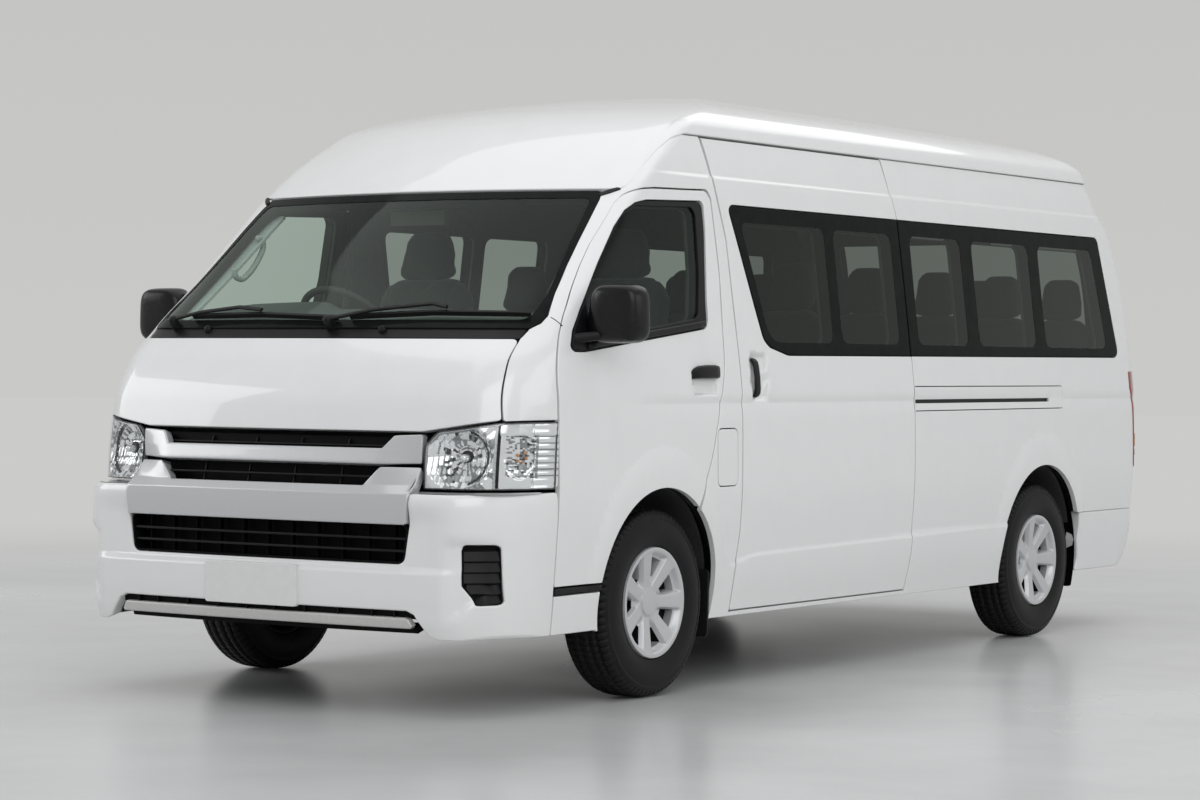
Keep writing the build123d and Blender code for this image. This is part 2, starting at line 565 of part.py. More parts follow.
front_flap = box(690, 850, 405, 413, 190, 420 - FIT)
rear_flap = box(690, 850, 3590, 3598, 205, 480 - FIT)
keep("mudflaps", pair(front_flap) + pair(rear_flap))
tank = box(-840, -460, 1150, 2150, 240, 480 - FIT)
keep("fuel_tank", fillet(tank.edges(), 30))
pipe = rod((562, 470, 440), (562, 3950, 440), 22)
pipe += rod((562, 1300, 480 - FIT - 75), (562, 1900, 480 - FIT - 75), 75)
keep("exhaust", pipe)
SPARE = [(0, -70), (150, -70), (190, -85), (TYRE_RADIUS - 14, -85), (TYRE_RADIUS, -60),
         (TYRE_RADIUS, 60), (TYRE_RADIUS - 14, 85), (190, 85), (150, 70), (0, 70)]
spare = Pos(0, behind(3800), 432 - FIT - 85) * Rot(0, 90, 0) * turned(SPARE)
keep("spare_wheel", spare)

# ---- Cabin --------------------------------------------------------------------------
DASH = [(-560, 900), (-560, 1240), (-760, 1266), (-760, 1288), (-600, 1292), (-430, 1272),
        (-370, 1205), (-385, 1040), (-460, 900)]
keep("dashboard", side_prism(DASH, 0, -870, 870) & CABIN)
WHEEL_X, WHEEL_D, WHEEL_Z = -400, -66, 1306
centre = Plane((WHEEL_X, behind(WHEEL_D), WHEEL_Z), x_dir=(1, 0, 0), z_dir=(0, 1, 1))
ring = centre * Torus(188, 14)
hub = centre * Cylinder(50, 40)
spoke = centre * Box(360, 34, 16)
keep("steering_wheel", ring + hub + spoke)
column = rod((WHEEL_X, WHEEL_D - 385, WHEEL_Z - 385), (WHEEL_X, WHEEL_D - 14.4, WHEEL_Z - 14.4), 28)
keep("steering_column", column - side_prism(DASH, FIT, -870, 870))

# Side outlines of a seat's pads from the cushion's front foot: (distance behind it, height).
CUSHION = [(0, 0), (0, 90), (20, 118), (425, 100), (470, 0)]
BACK = [(428, 101), (505, 640), (585, 650), (600, 630), (530, 60), (486, 0), (471, 0)]
HEAD = [(508, 641), (518, 790), (560, 840), (620, 830), (622, 760), (598, 652)]


def seat(x0, x1, distance, z):
    """Cushion, backrest and headrest; distance and z of the cushion's front foot."""
    pads = []
    middle = (x0 + x1) / 2
    for pad, left, right in ((CUSHION, x0, x1), (BACK, x0, x1), (HEAD, middle - 130, middle + 130)):
        pads.append(side_prism([(distance + d, z + h) for d, h in pad], 0, left, right))
    return pads


front = seat(-640, -160, -130, 780 + FIT)
keep("front_seats", Compound(front + [mirrored(pad) for pad in front]))

# Rows of the saloon: distance of the cushions' front foot; spans of the seats in x.
THREE = [(-850, -440), (-430, -20), (430, 840)]
FOUR = [(-850, -440), (-420, -10), (10, 420), (440, 850)]
ROWS = [(880, THREE), (1500, THREE), (2120, THREE), (2740, THREE), (3350, FOUR)]
SEAT_FOOT = 250
FLOOR_TOP = 520
wheel_room = pair(box(BOX_X - FIT, 900, BOX_FRONT - FIT, BOX_REAR + FIT, 480, BOX_TOP + FIT))
pads = []
for distance, spans in ROWS:
    for x0, x1 in spans:
        pads += seat(x0, x1, distance, FLOOR_TOP + SEAT_FOOT + FIT)
        pads.append(box(x0 + 60, x1 - 60, distance + 60, distance + 420, FLOOR_TOP + FIT,
                        FLOOR_TOP + SEAT_FOOT))
keep("passenger_seats", Compound([(pad & CABIN) - wheel_room for pad in pads]))
keep("interior_mirror", box(-120, 120, -180, -150, 1670, 1720) +
     (rod((0, -158, 1710), (0, -240, 1790), 10) & CABIN))

for name, shape in PARTS.items():
    export_step(shape, "parts/" + name + ".step")
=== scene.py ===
"""Looks of the minibus: smooth panels, glass, lamps, wheels, cabin, studio and camera.

Metres, in the frame of the CAD model. Outlines are in millimetres: (distance behind the front
axle, z) for a side view, (x, z) for a front or rear view.
"""
import bpy
import math
import numpy as np
from mathutils import Matrix, Vector
from mathutils.geometry import delaunay_2d_cdt


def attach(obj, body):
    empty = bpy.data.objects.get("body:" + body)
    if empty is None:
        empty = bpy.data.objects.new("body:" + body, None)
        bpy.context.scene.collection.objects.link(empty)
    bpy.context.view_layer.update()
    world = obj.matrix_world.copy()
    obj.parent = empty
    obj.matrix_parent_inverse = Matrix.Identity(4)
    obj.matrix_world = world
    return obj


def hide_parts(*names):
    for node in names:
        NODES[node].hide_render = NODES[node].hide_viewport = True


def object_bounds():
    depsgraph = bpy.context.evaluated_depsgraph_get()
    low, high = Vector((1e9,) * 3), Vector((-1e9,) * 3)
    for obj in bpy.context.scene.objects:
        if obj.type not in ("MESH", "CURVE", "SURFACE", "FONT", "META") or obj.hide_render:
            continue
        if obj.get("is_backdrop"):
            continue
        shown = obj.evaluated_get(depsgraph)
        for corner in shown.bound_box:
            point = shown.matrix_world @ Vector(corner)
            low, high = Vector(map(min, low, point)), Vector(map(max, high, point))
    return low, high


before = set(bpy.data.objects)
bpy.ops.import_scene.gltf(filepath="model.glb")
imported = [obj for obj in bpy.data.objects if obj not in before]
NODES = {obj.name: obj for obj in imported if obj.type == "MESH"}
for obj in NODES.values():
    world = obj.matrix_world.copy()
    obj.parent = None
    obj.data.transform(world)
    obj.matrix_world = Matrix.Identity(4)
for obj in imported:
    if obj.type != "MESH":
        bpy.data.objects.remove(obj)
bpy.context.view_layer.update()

AXLE_Y = -1.615         # front axle in the frame
HALF = 0.94             # half the width of the body
NOSE, TAIL = -1.075, 4.305      # vehicle's ends behind the front axle
# Wheel arches in mm: distance behind the front axle, z, radius.
FRONT_ARCH = (25, 360, 375)
REAR_ARCH = (3130, 360, 385)
WHEELBASE, HUB_Z = 3.110, 0.334       # in metres

# ---- Camera -------------------------------------------------------------------------
# Solved from the photo: direction, roll, focal length in its pixels, place.
AZ, EL, ROLL = [math.radians(a) for a in (33.4259, 0.6778, 0.4561)]
FOCAL_PX, PHOTO_WIDTH, SENSOR = 3091.78, 1200, 36
CAMERA_AT = (6.74108, -10.79482, 1.17439)
back = Vector((math.sin(AZ) * math.cos(EL), -math.cos(AZ) * math.cos(EL), math.sin(EL)))
right = Vector((math.cos(AZ), math.sin(AZ), 0))
up = back.cross(right)
right, up = (right * math.cos(ROLL) + up * math.sin(ROLL),
             up * math.cos(ROLL) - right * math.sin(ROLL))
cam_data = bpy.data.cameras.new("camera")
cam_data.lens, cam_data.sensor_width = FOCAL_PX * SENSOR / PHOTO_WIDTH, SENSOR
cam_data.clip_start, cam_data.clip_end = 0.5, 300
camera = bpy.data.objects.new("camera", cam_data)
bpy.context.scene.collection.objects.link(camera)
turn = Matrix((right, up, back)).transposed().to_4x4()
camera.matrix_world = Matrix.Translation(CAMERA_AT) @ turn
bpy.context.scene.camera = camera
bpy.context.scene.view_settings.view_transform = "Standard"


# ---- Materials ----------------------------------------------------------------------
ROUGH_VARY = 0.08
DUST = (0.32, 0.30, 0.27, 1)


def add(tree, kind, values=(), **settings):
    """New shader node with its settings and the plain values of its inputs."""
    made = tree.nodes.new("ShaderNode" + kind)
    for key, value in settings.items():
        setattr(made, key, value)
    for key, value in dict(values).items():
        made.inputs[key].default_value = value
    return made


def ranged(tree, source, low, high, start=0.0, end=1.0, **settings):
    """Output that goes from low to high while the source goes from start to end."""
    ends = {"From Min": start, "From Max": end, "To Min": low, "To Max": high}
    made = add(tree, "MapRange", ends, **settings)
    tree.links.new(source, made.inputs["Value"])
    return made.outputs["Result"]


def clouds(tree, coords, scale, detail=2.0):
    """Noise over an object's own coordinates."""
    made = add(tree, "TexNoise", {"Scale": scale, "Detail": detail})
    tree.links.new(coords.outputs["Object"], made.inputs["Vector"])
    return made.outputs["Fac"]


def maths(tree, operation, first, second, clamp=False):
    """Output of one step of arithmetic; the second term may be a number."""
    made = add(tree, "Math", operation=operation, use_clamp=clamp)
    tree.links.new(first, made.inputs[0])
    if isinstance(second, float):
        made.inputs[1].default_value = second
    else:
        tree.links.new(second, made.inputs[1])
    return made.outputs[0]


def graded(tree, source, *stops):
    """Colour ramp over two stops of (place, colour)."""
    ramp = add(tree, "ValToRGB")
    for element, (at, color) in zip(ramp.color_ramp.elements, stops):
        element.position, element.color = at, (*color, 1)
    tree.links.new(source, ramp.inputs["Fac"])
    return ramp.outputs["Color"]


def blended(tree, share, one, two, end):
    """Two shaders mixed into the output node named end."""
    mix = add(tree, "MixShader")
    for k, source in enumerate((share, one, two)):
        tree.links.new(source, mix.inputs[k])
    tree.links.new(mix.outputs[0], tree.nodes[end].inputs["Surface"])


def new_material(name):
    """New material, and its node tree."""
    mat = bpy.data.materials.new(name)
    mat.use_nodes = True
    return mat, mat.node_tree


def material(name, color, rough=0.5, metal=0.0, grain=40.0, vary=0.06, bump=0.0, bump_scale=400.0,
             dust=0.0, coat=0.0, **sockets):
    """Principled material with noise in its colour, roughness and bump, and dust low down."""
    mat, tree = new_material(name)
    link = tree.links.new
    shader = tree.nodes["Principled BSDF"]
    sockets.update({"Metallic": metal, "Coat Weight": coat, "Coat Roughness": 0.04})
    for key, value in sockets.items():
        shader.inputs[key.replace("_", " ")].default_value = value
    coords = add(tree, "TexCoord")
    noise = clouds(tree, coords, grain, 5)
    tint = add(tree, "VectorMath", {0: color}, operation="SCALE")
    link(ranged(tree, noise, 1 - vary, 1 + vary, 0.3, 0.7), tint.inputs["Scale"])
    last = tint.outputs["Vector"]
    if dust:
        split = add(tree, "SeparateXYZ")
        link(coords.outputs["Object"], split.inputs[0])
        low = ranged(tree, split.outputs["Z"], dust, 0.0, 0.2, 0.75)
        mix = add(tree, "Mix", {"B": DUST}, data_type="RGBA")
        link(maths(tree, "MULTIPLY", low, noise), mix.inputs["Factor"])
        link(last, mix.inputs["A"])
        last = mix.outputs["Result"]
    link(last, shader.inputs["Base Color"])
    least, most = max(0.02, rough - ROUGH_VARY / 2), min(1.0, rough + ROUGH_VARY / 2)
    link(ranged(tree, noise, least, most, 0.3, 0.7), shader.inputs["Roughness"])
    if bump:
        height = add(tree, "Bump", {"Strength": bump, "Distance": 0.001})
        link(clouds(tree, coords, bump_scale), height.inputs["Height"])
        link(height.outputs["Normal"], shader.inputs["Normal"])
    return mat


def glass(name, color, clear, least):
    """Thin tinted glass: what is behind shows through, under a gloss that grows from its least."""
    mat, tree = new_material(name)
    tree.nodes.remove(tree.nodes["Principled BSDF"])
    through = add(tree, "BsdfTransparent", {"Color": (*clear, 1)})
    gloss = add(tree, "BsdfPrincipled", {"Base Color": (*color, 1), "Metallic": 1.0})
    haze = clouds(tree, add(tree, "TexCoord"), 3.0)
    tree.links.new(ranged(tree, haze, 0.01, 0.06), gloss.inputs["Roughness"])
    facing = add(tree, "LayerWeight", {"Blend": 0.5})
    rise = maths(tree, "POWER", facing.outputs["Facing"], 4.5)
    blended(tree, ranged(tree, rise, least, 0.9), through.outputs[0], gloss.outputs[0], "Material Output")
    return mat


PAINT = material("paint_white", (0.80, 0.80, 0.79), 0.32, grain=9, vary=0.012, dust=0.05, coat=1.0,
                 bump=0.02, bump_scale=900)
PLATE = material("plate_white", (0.74, 0.74, 0.72), 0.38, grain=30, vary=0.02, bump=0.05)
SILVER = material("garnish_silver", (0.56, 0.57, 0.58), 0.33, 0.45, grain=420, vary=0.05, coat=0.8)
STRIP = material("strip_grey", (0.56, 0.56, 0.54), 0.38, 0.2, grain=120, vary=0.05)
BLACK = material("black_trim", (0.006, 0.006, 0.007), 0.40, grain=60, vary=0.25, bump=0.2,
                 bump_scale=1400, Specular_IOR_Level=0.22)
SHELL = material("mirror_shell", (0.004, 0.004, 0.005), 0.24, grain=60, vary=0.2, bump=0.1,
                 bump_scale=1400, Specular_IOR_Level=0.30)
DARK = material("recess_black", (0.003, 0.003, 0.003), 0.6, grain=60, vary=0.3, bump=0.2, bump_scale=900,
                Specular_IOR_Level=0.10)
GLOSSBLACK = material("black_gloss", (0.010, 0.012, 0.011), 0.06, grain=20, vary=0.2, IOR=1.11)
RUBBER = material("seal_rubber", (0.008, 0.008, 0.008), 0.55, grain=80, vary=0.3, bump=0.2,
                  Specular_IOR_Level=0.3)
TYRE = material("tyre_rubber", (0.005, 0.005, 0.005), 0.48, grain=60, vary=0.25, bump=0.35,
                bump_scale=700, dust=0.02, Specular_IOR_Level=0.18)
COVER = material("wheel_silver", (0.56, 0.565, 0.57), 0.32, 0.35, grain=700, vary=0.06, coat=0.5)
STEEL = material("wheel_steel", (0.030, 0.030, 0.032), 0.5, 0.6, grain=40, vary=0.3, bump=0.2)
CHROME = material("lamp_mirror", (0.88, 0.89, 0.90), 0.10, 0.68, grain=30, vary=0.03)
SHADE = material("lamp_shade", (0.30, 0.31, 0.32), 0.16, 0.7, grain=60, vary=0.1)
GLOOM = material("lamp_gloom", (0.045, 0.047, 0.05), 0.2, 0.6, grain=60, vary=0.2)
SILVERED = material("mirror_glass", (0.80, 0.82, 0.82), 0.04, 1.0, grain=10, vary=0.02)
BEZEL = material("lamp_bezel", (0.46, 0.47, 0.48), 0.28, 0.6, grain=60, vary=0.05)
AMBER = material("bulb_amber", (0.50, 0.22, 0.07), 0.25, grain=90, vary=0.15, coat=1.0)
RED = material("lamp_red", (0.24, 0.005, 0.006), 0.12, grain=90, vary=0.08, coat=1.0)
PALETRIM = material("pillar_grey", (0.58, 0.62, 0.595), 0.7, grain=60, vary=0.05, bump=0.3,
                    Specular_IOR_Level=0.3)
DASHTOP = material("dash_grey", (0.085, 0.093, 0.088), 0.7, grain=60, vary=0.1, bump=0.4,
                   Specular_IOR_Level=0.3)
FRAME = material("frame_black", (0.014, 0.014, 0.015), 0.62, grain=14, vary=0.35, bump=0.5, dust=0.3)
IRON = material("engine_iron", (0.05, 0.05, 0.05), 0.6, 0.5, grain=25, vary=0.3, bump=0.5)
CABIN = material("cabin_plastic", (0.045, 0.047, 0.046), 0.60, grain=50, vary=0.12, bump=0.4,
                 bump_scale=900, Specular_IOR_Level=0.4)
LINER = material("cabin_liner", (0.13, 0.135, 0.13), 0.8, grain=60, vary=0.1, bump=0.4,
                 Specular_IOR_Level=0.3)
MAT = material("floor_rubber", (0.035, 0.035, 0.036), 0.75, grain=90, vary=0.2, bump=0.6)
CLEAR = glass("clear_glass", (0.86, 0.95, 0.90), (0.71, 0.79, 0.74), 0.018)
TINT = glass("dark_glass", (0.86, 0.92, 0.88), (0.38, 0.41, 0.385), 0.020)
LENS = glass("lamp_lens", (0.95, 0.95, 0.95), (0.97, 0.98, 0.98), 0.04)
FABRIC = material("seat_fabric", (0.040, 0.041, 0.043), 0.9, grain=180, vary=0.3, bump=0.8,
                  bump_scale=1500, Sheen_Weight=0.25)


# ---- Smooth body surfaces -----------------------------------------------------------
def pchip(xs, ys, flat_end=False):
    """Smooth curve through points that never overshoots them."""
    xs, ys = np.array(xs, float), np.array(ys, float)
    h = np.diff(xs)
    d = np.diff(ys) / h
    m = np.zeros_like(ys)
    for i in range(1, len(xs) - 1):
        if d[i - 1] * d[i] > 0:
            w1, w2 = 2 * h[i] + h[i - 1], h[i] + 2 * h[i - 1]
            m[i] = (w1 + w2) / (w1 / d[i - 1] + w2 / d[i])
    m[0], m[-1] = d[0], 0 if flat_end else d[-1]

    def curve(x):
        k = np.clip(np.searchsorted(xs, x) - 1, 0, len(h) - 1)
        t = (x - xs[k]) / h[k]
        a, b = ys[k], ys[k + 1]
        return (a * (1 + 2 * t) * (1 - t) ** 2 + b * t * t * (3 - 2 * t)
                + h[k] * (m[k] * t * (1 - t) ** 2 - m[k + 1] * t * t * (1 - t)))
    return curve


def columns(rows, places):
    """Smooth columns of a table in mm, as a function of the place that gives them in metres."""
    grid = np.linspace(places[0], places[-1], 4000)
    data = [pchip(places, [r[k] / 1000 for r in rows], k == 0)(grid) for k in range(len(rows[0]))]
    return lambda v: [np.interp(v, grid, c) for c in data]


# Level rings in mm: z, how far in the side and the nose lie, size of the corner, bow of the front,
# where the flank starts behind the nose's reference, how far in the tail lies.
STATIONS = [
    (250, 35, 75, 225, 50, 440, 75), (470, 15, 70, 220, 50, 440, 66),
    (745, 0, 75, 212, 46, 450, 64), (1030, 5, 115, 205, 44, 475, 62),
    (1170, 18, 180, 200, 46, 525, 61),
    (1285, 32, 285, 180, 80, 590, 60), (1460, 53, 487, 150, 105, 770, 70),
    (1785, 92, 845, 130, 125, 1090, 170), (1860, 102, 935, 135, 130, 1190, 250),
    (2010, 135, 1150, 160, 130, 1440, 330), (2060, 150, 1255, 170, 125, 1530, 340),
    (2100, 190, 1375, 180, 120, 1640, 375), (2130, 250, 1505, 180, 110, 1760, 455),
    (2160, 340, 1665, 170, 100, 1900, 585), (2190, 470, 1895, 150, 80, 2080, 755),
    (2220, 630, 2175, 120, 60, 2310, 1005), (2250, 820, 2575, 60, 30, 2660, 1405)]
PLACES = [r[0] / 1000 for r in STATIONS[:10]]
for low, high in zip(STATIONS[9:], STATIONS[10:]):
    PLACES.append(PLACES[-1] + math.hypot(high[0] - low[0], high[1] - low[1]) / 1000)
TOP = PLACES[-1]
BODY_AT = columns(STATIONS, PLACES)
APRON_ROWS = [(250, 33, 27, 225, 24, 390), (330, 25, 12, 222, 22, 395), (470, 15, 12, 220, 20, 400),
              (685, 2, 14, 222, 20, 425), (722, 3, 18, 224, 21, 430), (745, 8, 32, 226, 24, 440)]
APRON_AT = columns(APRON_ROWS, [r[0] / 1000 for r in APRON_ROWS])
TAIL_ROWS = [(260, 34, 105, 270, 8, 375), (330, 28, 35, 270, 8, 305), (470, 15, 0, 270, 8, 270),
             (525, 11, 15, 270, 8, 285)]
TAIL_AT = columns(TAIL_ROWS, [r[0] / 1000 for r in TAIL_ROWS])
KNOTS = np.array([0, 0.62, 1.0, 5.4, 5.65, 6.4])     # place round the body at the six joins
JOINS = np.arange(6.0)
REACH = 3.0         # how far back the rings of both bumpers run


def bezier(s, a, b, c, d):
    """Point at s on a cubic curve with four controls."""
    return a * (1 - s) ** 3 + 3 * b * s * (1 - s) ** 2 + 3 * c * s * s * (1 - s) + d * s ** 3


def smooth(x, a, b):
    """Goes softly from 0 at a to 1 at b."""
    t = np.clip((x - a) / (b - a), 0, 1)
    return t * t * (3 - 2 * t)


def ring(t, half, corner, y0, bow, yf, yr):
    """Level outline: t is 0 at the front's middle, 1-2 the corner, 2-3 the side, 3-4, 5 rear."""
    turn_x = half - corner
    slope = 2 * bow / turn_x
    k = 0.56
    y1 = y0 + bow
    reach = np.minimum(0.2, half * 0.6)
    hip = yr - reach
    s = np.clip(t - 1, 0, 1)
    cx = bezier(s, turn_x, turn_x + k * corner, half, half)
    cy = bezier(s, y1, y1 + k * corner * slope, yf - k * (yf - y1), yf)
    r = np.clip(t - 3, 0, 1)
    rx = bezier(r, half, half, half - reach * 0.45, half - reach)
    ry = bezier(r, hip, hip + reach * 0.55, yr, yr)
    where = [t < 1, t < 2, t < 3, t < 4]
    x = np.select(where, [turn_x * t, cx, half, rx], (half - reach) * (5 - t))
    y = np.select(where, [y0 + bow * t * t, cy, yf + (hip - yf) * (t - 2), ry], yr)
    return x, y


CREASE = pchip([0.42, 0.52, 0.68, 1.16, 1.9, 2.72, 3.6], [0.405, 0.440, 0.468, 0.476, 0.486, 0.497, 0.5])
WAIST = 1.035        # height of the crease under the windows


def dress(y, z):
    """Creases and wheel flares that stand on the plain side, outwards."""
    gain = smooth(y, -0.30, 0.15) * (1 - smooth(y, 4.10, 4.25))
    v = np.where(z > WAIST, np.clip(1 - (z - WAIST) / 0.035, 0, 1), np.clip(1 - (WAIST - z) / 0.05, 0, 1))
    out = -0.006 * gain * v ** 1.6
    fall = smooth(y, 0.42, 0.62) * (1 - smooth(y, 3.5, 3.6))
    low = CREASE(np.clip(y, 0.42, 3.6))
    out = out + 0.008 * fall * (1 - smooth(z, low - 0.004, low + 0.012)) * smooth(z, 0.24, 0.42)
    out = out - 0.005 * smooth(z, 1.853, 1.868) * smooth(y, -0.05, 0.35)
    for cy, cz, wide, high in ((0.025, 0.36, 0.455, 0.525), (3.13, 0.36, 0.465, 0.53)):
        rho = np.sqrt(((y - cy) / wide) ** 2 + ((z - cz) / high) ** 2)
        rise = np.clip((1.0 - rho) / 0.16, 0, 1)
        out = out + 0.010 * (1 - (1 - rise) ** 1.8) * smooth(z, 0.25, 0.55)
    return out


def window(value, low, high, soft):
    """1 between low and high, with soft ends."""
    soft /= 2
    return smooth(value, low - soft, low + soft) * (1 - smooth(value, high - soft, high + soft))


def scoops(y, z, left):
    """Hollows behind the door handles. The right side panel is the left one mirrored, so it shows the
    sliding door's hollow too, though that side has no sliding door."""
    front_door = 0.014 * window(y, 0.243, 0.392, 0.020) * window(z, 1.066, 1.140, 0.018)
    slider = 0.018 * window(y, 0.652, 0.758, 0.022) * window(z, 1.046, 1.210, 0.026)
    return front_door + slider * left


def ring_form(levels, v):
    """Height, and the ring's form there, from one of the three tables."""
    z, tuck, nose, corner, bow, flank, *tail_in = levels(v)
    start = 0 if levels is TAIL_AT else NOSE
    end = TAIL - tail_in[0] if tail_in else REACH
    return z, (HALF - tuck, corner, start + nose, bow, start + flank, end)


def on_ring(levels, u, v):
    """Place t on the ring, and the plain x, y, z there, for a place u round the body."""
    z, form = ring_form(levels, v)
    t = np.interp(np.abs(u), KNOTS, JOINS)
    return t, *ring(t, *form), z


def body(u, v):
    """Points of the body's skin: u is the place round it, less than 0 on the right."""
    t, x, y, z = on_ring(BODY_AT, u, v)
    x = x + dress(y, z) * smooth(t, 1.55, 1.95) * (1 - smooth(t, 3.2, 3.8)) * (1 - smooth(v, 2.02, 2.30))
    return np.stack([np.sign(u) * (x - scoops(y, z, u > 0)), y + AXLE_Y, z], -1)


def plain_side(u, v):
    """The body's skin without its creases and hollows."""
    _, x, y, z = on_ring(BODY_AT, u, v)
    return np.stack([np.sign(u) * x, y + AXLE_Y, z], -1)


def recess(x, y, z):
    """How far the bumper's face lies in from its plain form."""
    ax = np.abs(x)
    upper = 0.016 * smooth(z, 0.474, 0.500) * (1 - smooth(ax, 0.66, 0.80)) * (1 - smooth(z, 0.64, 0.72))
    pocket = 0.020 * smooth(ax, 0.735, 0.80) * (1 - smooth(y, -0.93, -0.86)) \
        * smooth(z + (0.80 - ax) * 0.9, 0.335, 0.385) * (1 - smooth(z, 0.565, 0.60))
    return upper + pocket - 0.003 * (1 - smooth(z, 0.474, 0.500)) * smooth(z, 0.33, 0.40)


def apron(u, v):
    """Front bumper's skin."""
    t, x, y, z = on_ring(APRON_AT, u, v)
    return np.stack([np.sign(u) * x, y + recess(x, y, z) * (1 - smooth(t, 1.35, 1.9)) + AXLE_Y, z], -1)


def tail(w, v):
    """Rear of the body; w grows towards the right, 0 in the middle."""
    return body(np.where(w < 0, 1.0, -1.0) * (KNOTS[5] - np.abs(w)), v)


def tail_apron(w, v):
    """Rear bumper's skin."""
    _, x, y, z = on_ring(TAIL_AT, w, v)
    return np.stack([-np.sign(w) * x, TAIL - y + AXLE_Y, z], -1)


def solve(test, target):
    """Parameter in 0..1 at which a rising test reaches the target."""
    lo, hi = np.zeros_like(target), np.ones_like(target)
    for _ in range(34):
        mid = (lo + hi) / 2
        high = test(mid) > target
        hi = np.where(high, mid, hi)
        lo = np.where(high, lo, mid)
    return (lo + hi) / 2


def place(kind, points, levels=BODY_AT):
    """(u, z) of outline points in mm, given in a front, side or rear view."""
    p = np.array(points, float) / 1000
    a, z = p[:, 0], p[:, 1]
    _, form = ring_form(levels, z)
    if kind == "front":
        t = solve(lambda s: ring(2 * s, *form)[0], np.abs(a)) * 2
        return np.stack([np.sign(a) * np.interp(t, JOINS, KNOTS), z], -1)
    if kind == "side":
        t = 1 + 3 * solve(lambda s: ring(1 + 3 * s, *form)[1], a)
        return np.stack([np.interp(t, JOINS, KNOTS), z], -1)
    t = 5 - 2 * solve(lambda s: ring(5 - 2 * s, *form)[0], np.abs(a))
    return np.stack([-np.sign(a) * (KNOTS[5] - np.interp(t, JOINS, KNOTS)), z], -1)


# ---- Outlines -----------------------------------------------------------------------
def rounded(points, radius):
    """Outline in mm with its corners rounded; radius is one number or one for each corner."""
    out = []
    count = len(points)
    for i, p in enumerate(points):
        r = radius[i] if isinstance(radius, (list, tuple)) else radius
        p = np.array(p, float)
        a, b = np.array(points[i - 1], float) - p, np.array(points[(i + 1) % count], float) - p
        la, lb = np.linalg.norm(a), np.linalg.norm(b)
        if r <= 0:
            out.append(tuple(p))
            continue
        angle = math.acos(np.clip(np.dot(a, b) / la / lb, -1, 1))
        cut = min(r / max(math.tan(angle / 2), 1e-3), 0.48 * la, 0.48 * lb)
        s0, s1 = p + a / la * cut, p + b / lb * cut
        for k in range(9):
            q = k / 8
            out.append(tuple(s0 * (1 - q) ** 2 + 2 * p * q * (1 - q) + s1 * q * q))
    return out


def arc(arch, start, end, count=40):
    """Points of a wheel arch from one angle to another, in degrees, 0 to the rear and 90 up."""
    d, z, r = arch
    return [(d + r * math.cos(math.radians(a)), z + r * math.sin(math.radians(a)))
            for a in np.linspace(start, end, count)]


def dense(points, step=15.0, close=True):
    """The same outline in mm with no run longer than step."""
    out = []
    points = list(points)
    ends = points[1:] + points[:1] if close else points[1:]
    for p, q in zip(points, ends):
        n = max(1, math.ceil(math.dist(p, q) / step))
        out += [(p[0] + (q[0] - p[0]) * k / n, p[1] + (q[1] - p[1]) * k / n) for k in range(n)]
    if not close:
        out.append(points[-1])
    return out


def both(points):
    """Front outline made whole from its left half, listed from the foot up."""
    return [(-x, z) for x, z in reversed(points)] + list(points)


def unit(vectors, least=1e-9):
    """Rows made one long; a row shorter than least stays short."""
    return vectors / np.maximum(np.linalg.norm(vectors, axis=-1, keepdims=True), least)


def area(loop):
    """Signed area of a loop, more than 0 where it runs anticlockwise."""
    x, y = loop[:, 0], loop[:, 1]
    return 0.5 * np.sum(x * np.roll(y, -1) - np.roll(x, -1) * y)


def inset(loop, amount):
    """Loop moved into its left side."""
    if amount == 0:
        return loop
    before, after = unit(loop - np.roll(loop, 1, 0)), unit(np.roll(loop, -1, 0) - loop)
    n1 = np.stack([-before[:, 1], before[:, 0]], -1)
    n2 = np.stack([-after[:, 1], after[:, 0]], -1)
    n = n1 + n2
    n /= np.maximum((n * n1).sum(1, keepdims=True), 0.5)
    return loop + n * amount


def shrunk(loop, amount):
    """Loop moved inwards, whichever way it runs."""
    return inset(loop, amount if area(loop) > 0 else -amount)


def inside(points, loops):
    """Which points lie inside an odd number of loops."""
    hit = np.zeros(len(points), bool)
    for loop in loops:
        x1, y1 = loop[:, 0], loop[:, 1]
        x2, y2 = np.roll(x1, -1), np.roll(y1, -1)
        for lo in range(0, len(points), 4000):
            px, py = points[lo:lo + 4000, 0][:, None], points[lo:lo + 4000, 1][:, None]
            cross = (y1 > py) != (y2 > py)
            with np.errstate(divide="ignore", invalid="ignore"):
                at = (x2 - x1) * (py - y1) / (y2 - y1) + x1
            hit[lo:lo + 4000] ^= ((cross & (px < at)).sum(1) % 2).astype(bool)
    return hit


def clear_of(points, loops, gap):
    """Which points are at least gap from every run of the loops."""
    far = np.ones(len(points), bool)
    for loop in loops:
        a, b = loop, np.roll(loop, -1, 0)
        d = b - a
        length = np.maximum((d * d).sum(1), 1e-12)
        for lo in range(0, len(points), 3000):
            p = points[lo:lo + 3000][:, None, :]
            t = np.clip(((p - a) * d).sum(2) / length, 0, 1)
            q = a + t[..., None] * d
            far[lo:lo + 3000] &= (((p - q) ** 2).sum(2).min(1) > gap * gap)
    return far


# ---- Mesh helpers -------------------------------------------------------------------
def new_mesh(name, verts, faces, mat, normals=None, smooth_faces=True):
    mesh = bpy.data.meshes.new(name)
    mesh.from_pydata([tuple(v) for v in verts], [], [tuple(int(i) for i in f) for f in faces])
    mesh.update()
    if smooth_faces:
        mesh.polygons.foreach_set("use_smooth", [True] * len(mesh.polygons))
    if normals is not None:
        mesh.normals_split_custom_set_from_vertices([tuple(v) for v in normals])
    obj = bpy.data.objects.new(name, mesh)
    bpy.context.scene.collection.objects.link(obj)
    if mat is not None:
        mesh.materials.append(mat)
    return obj


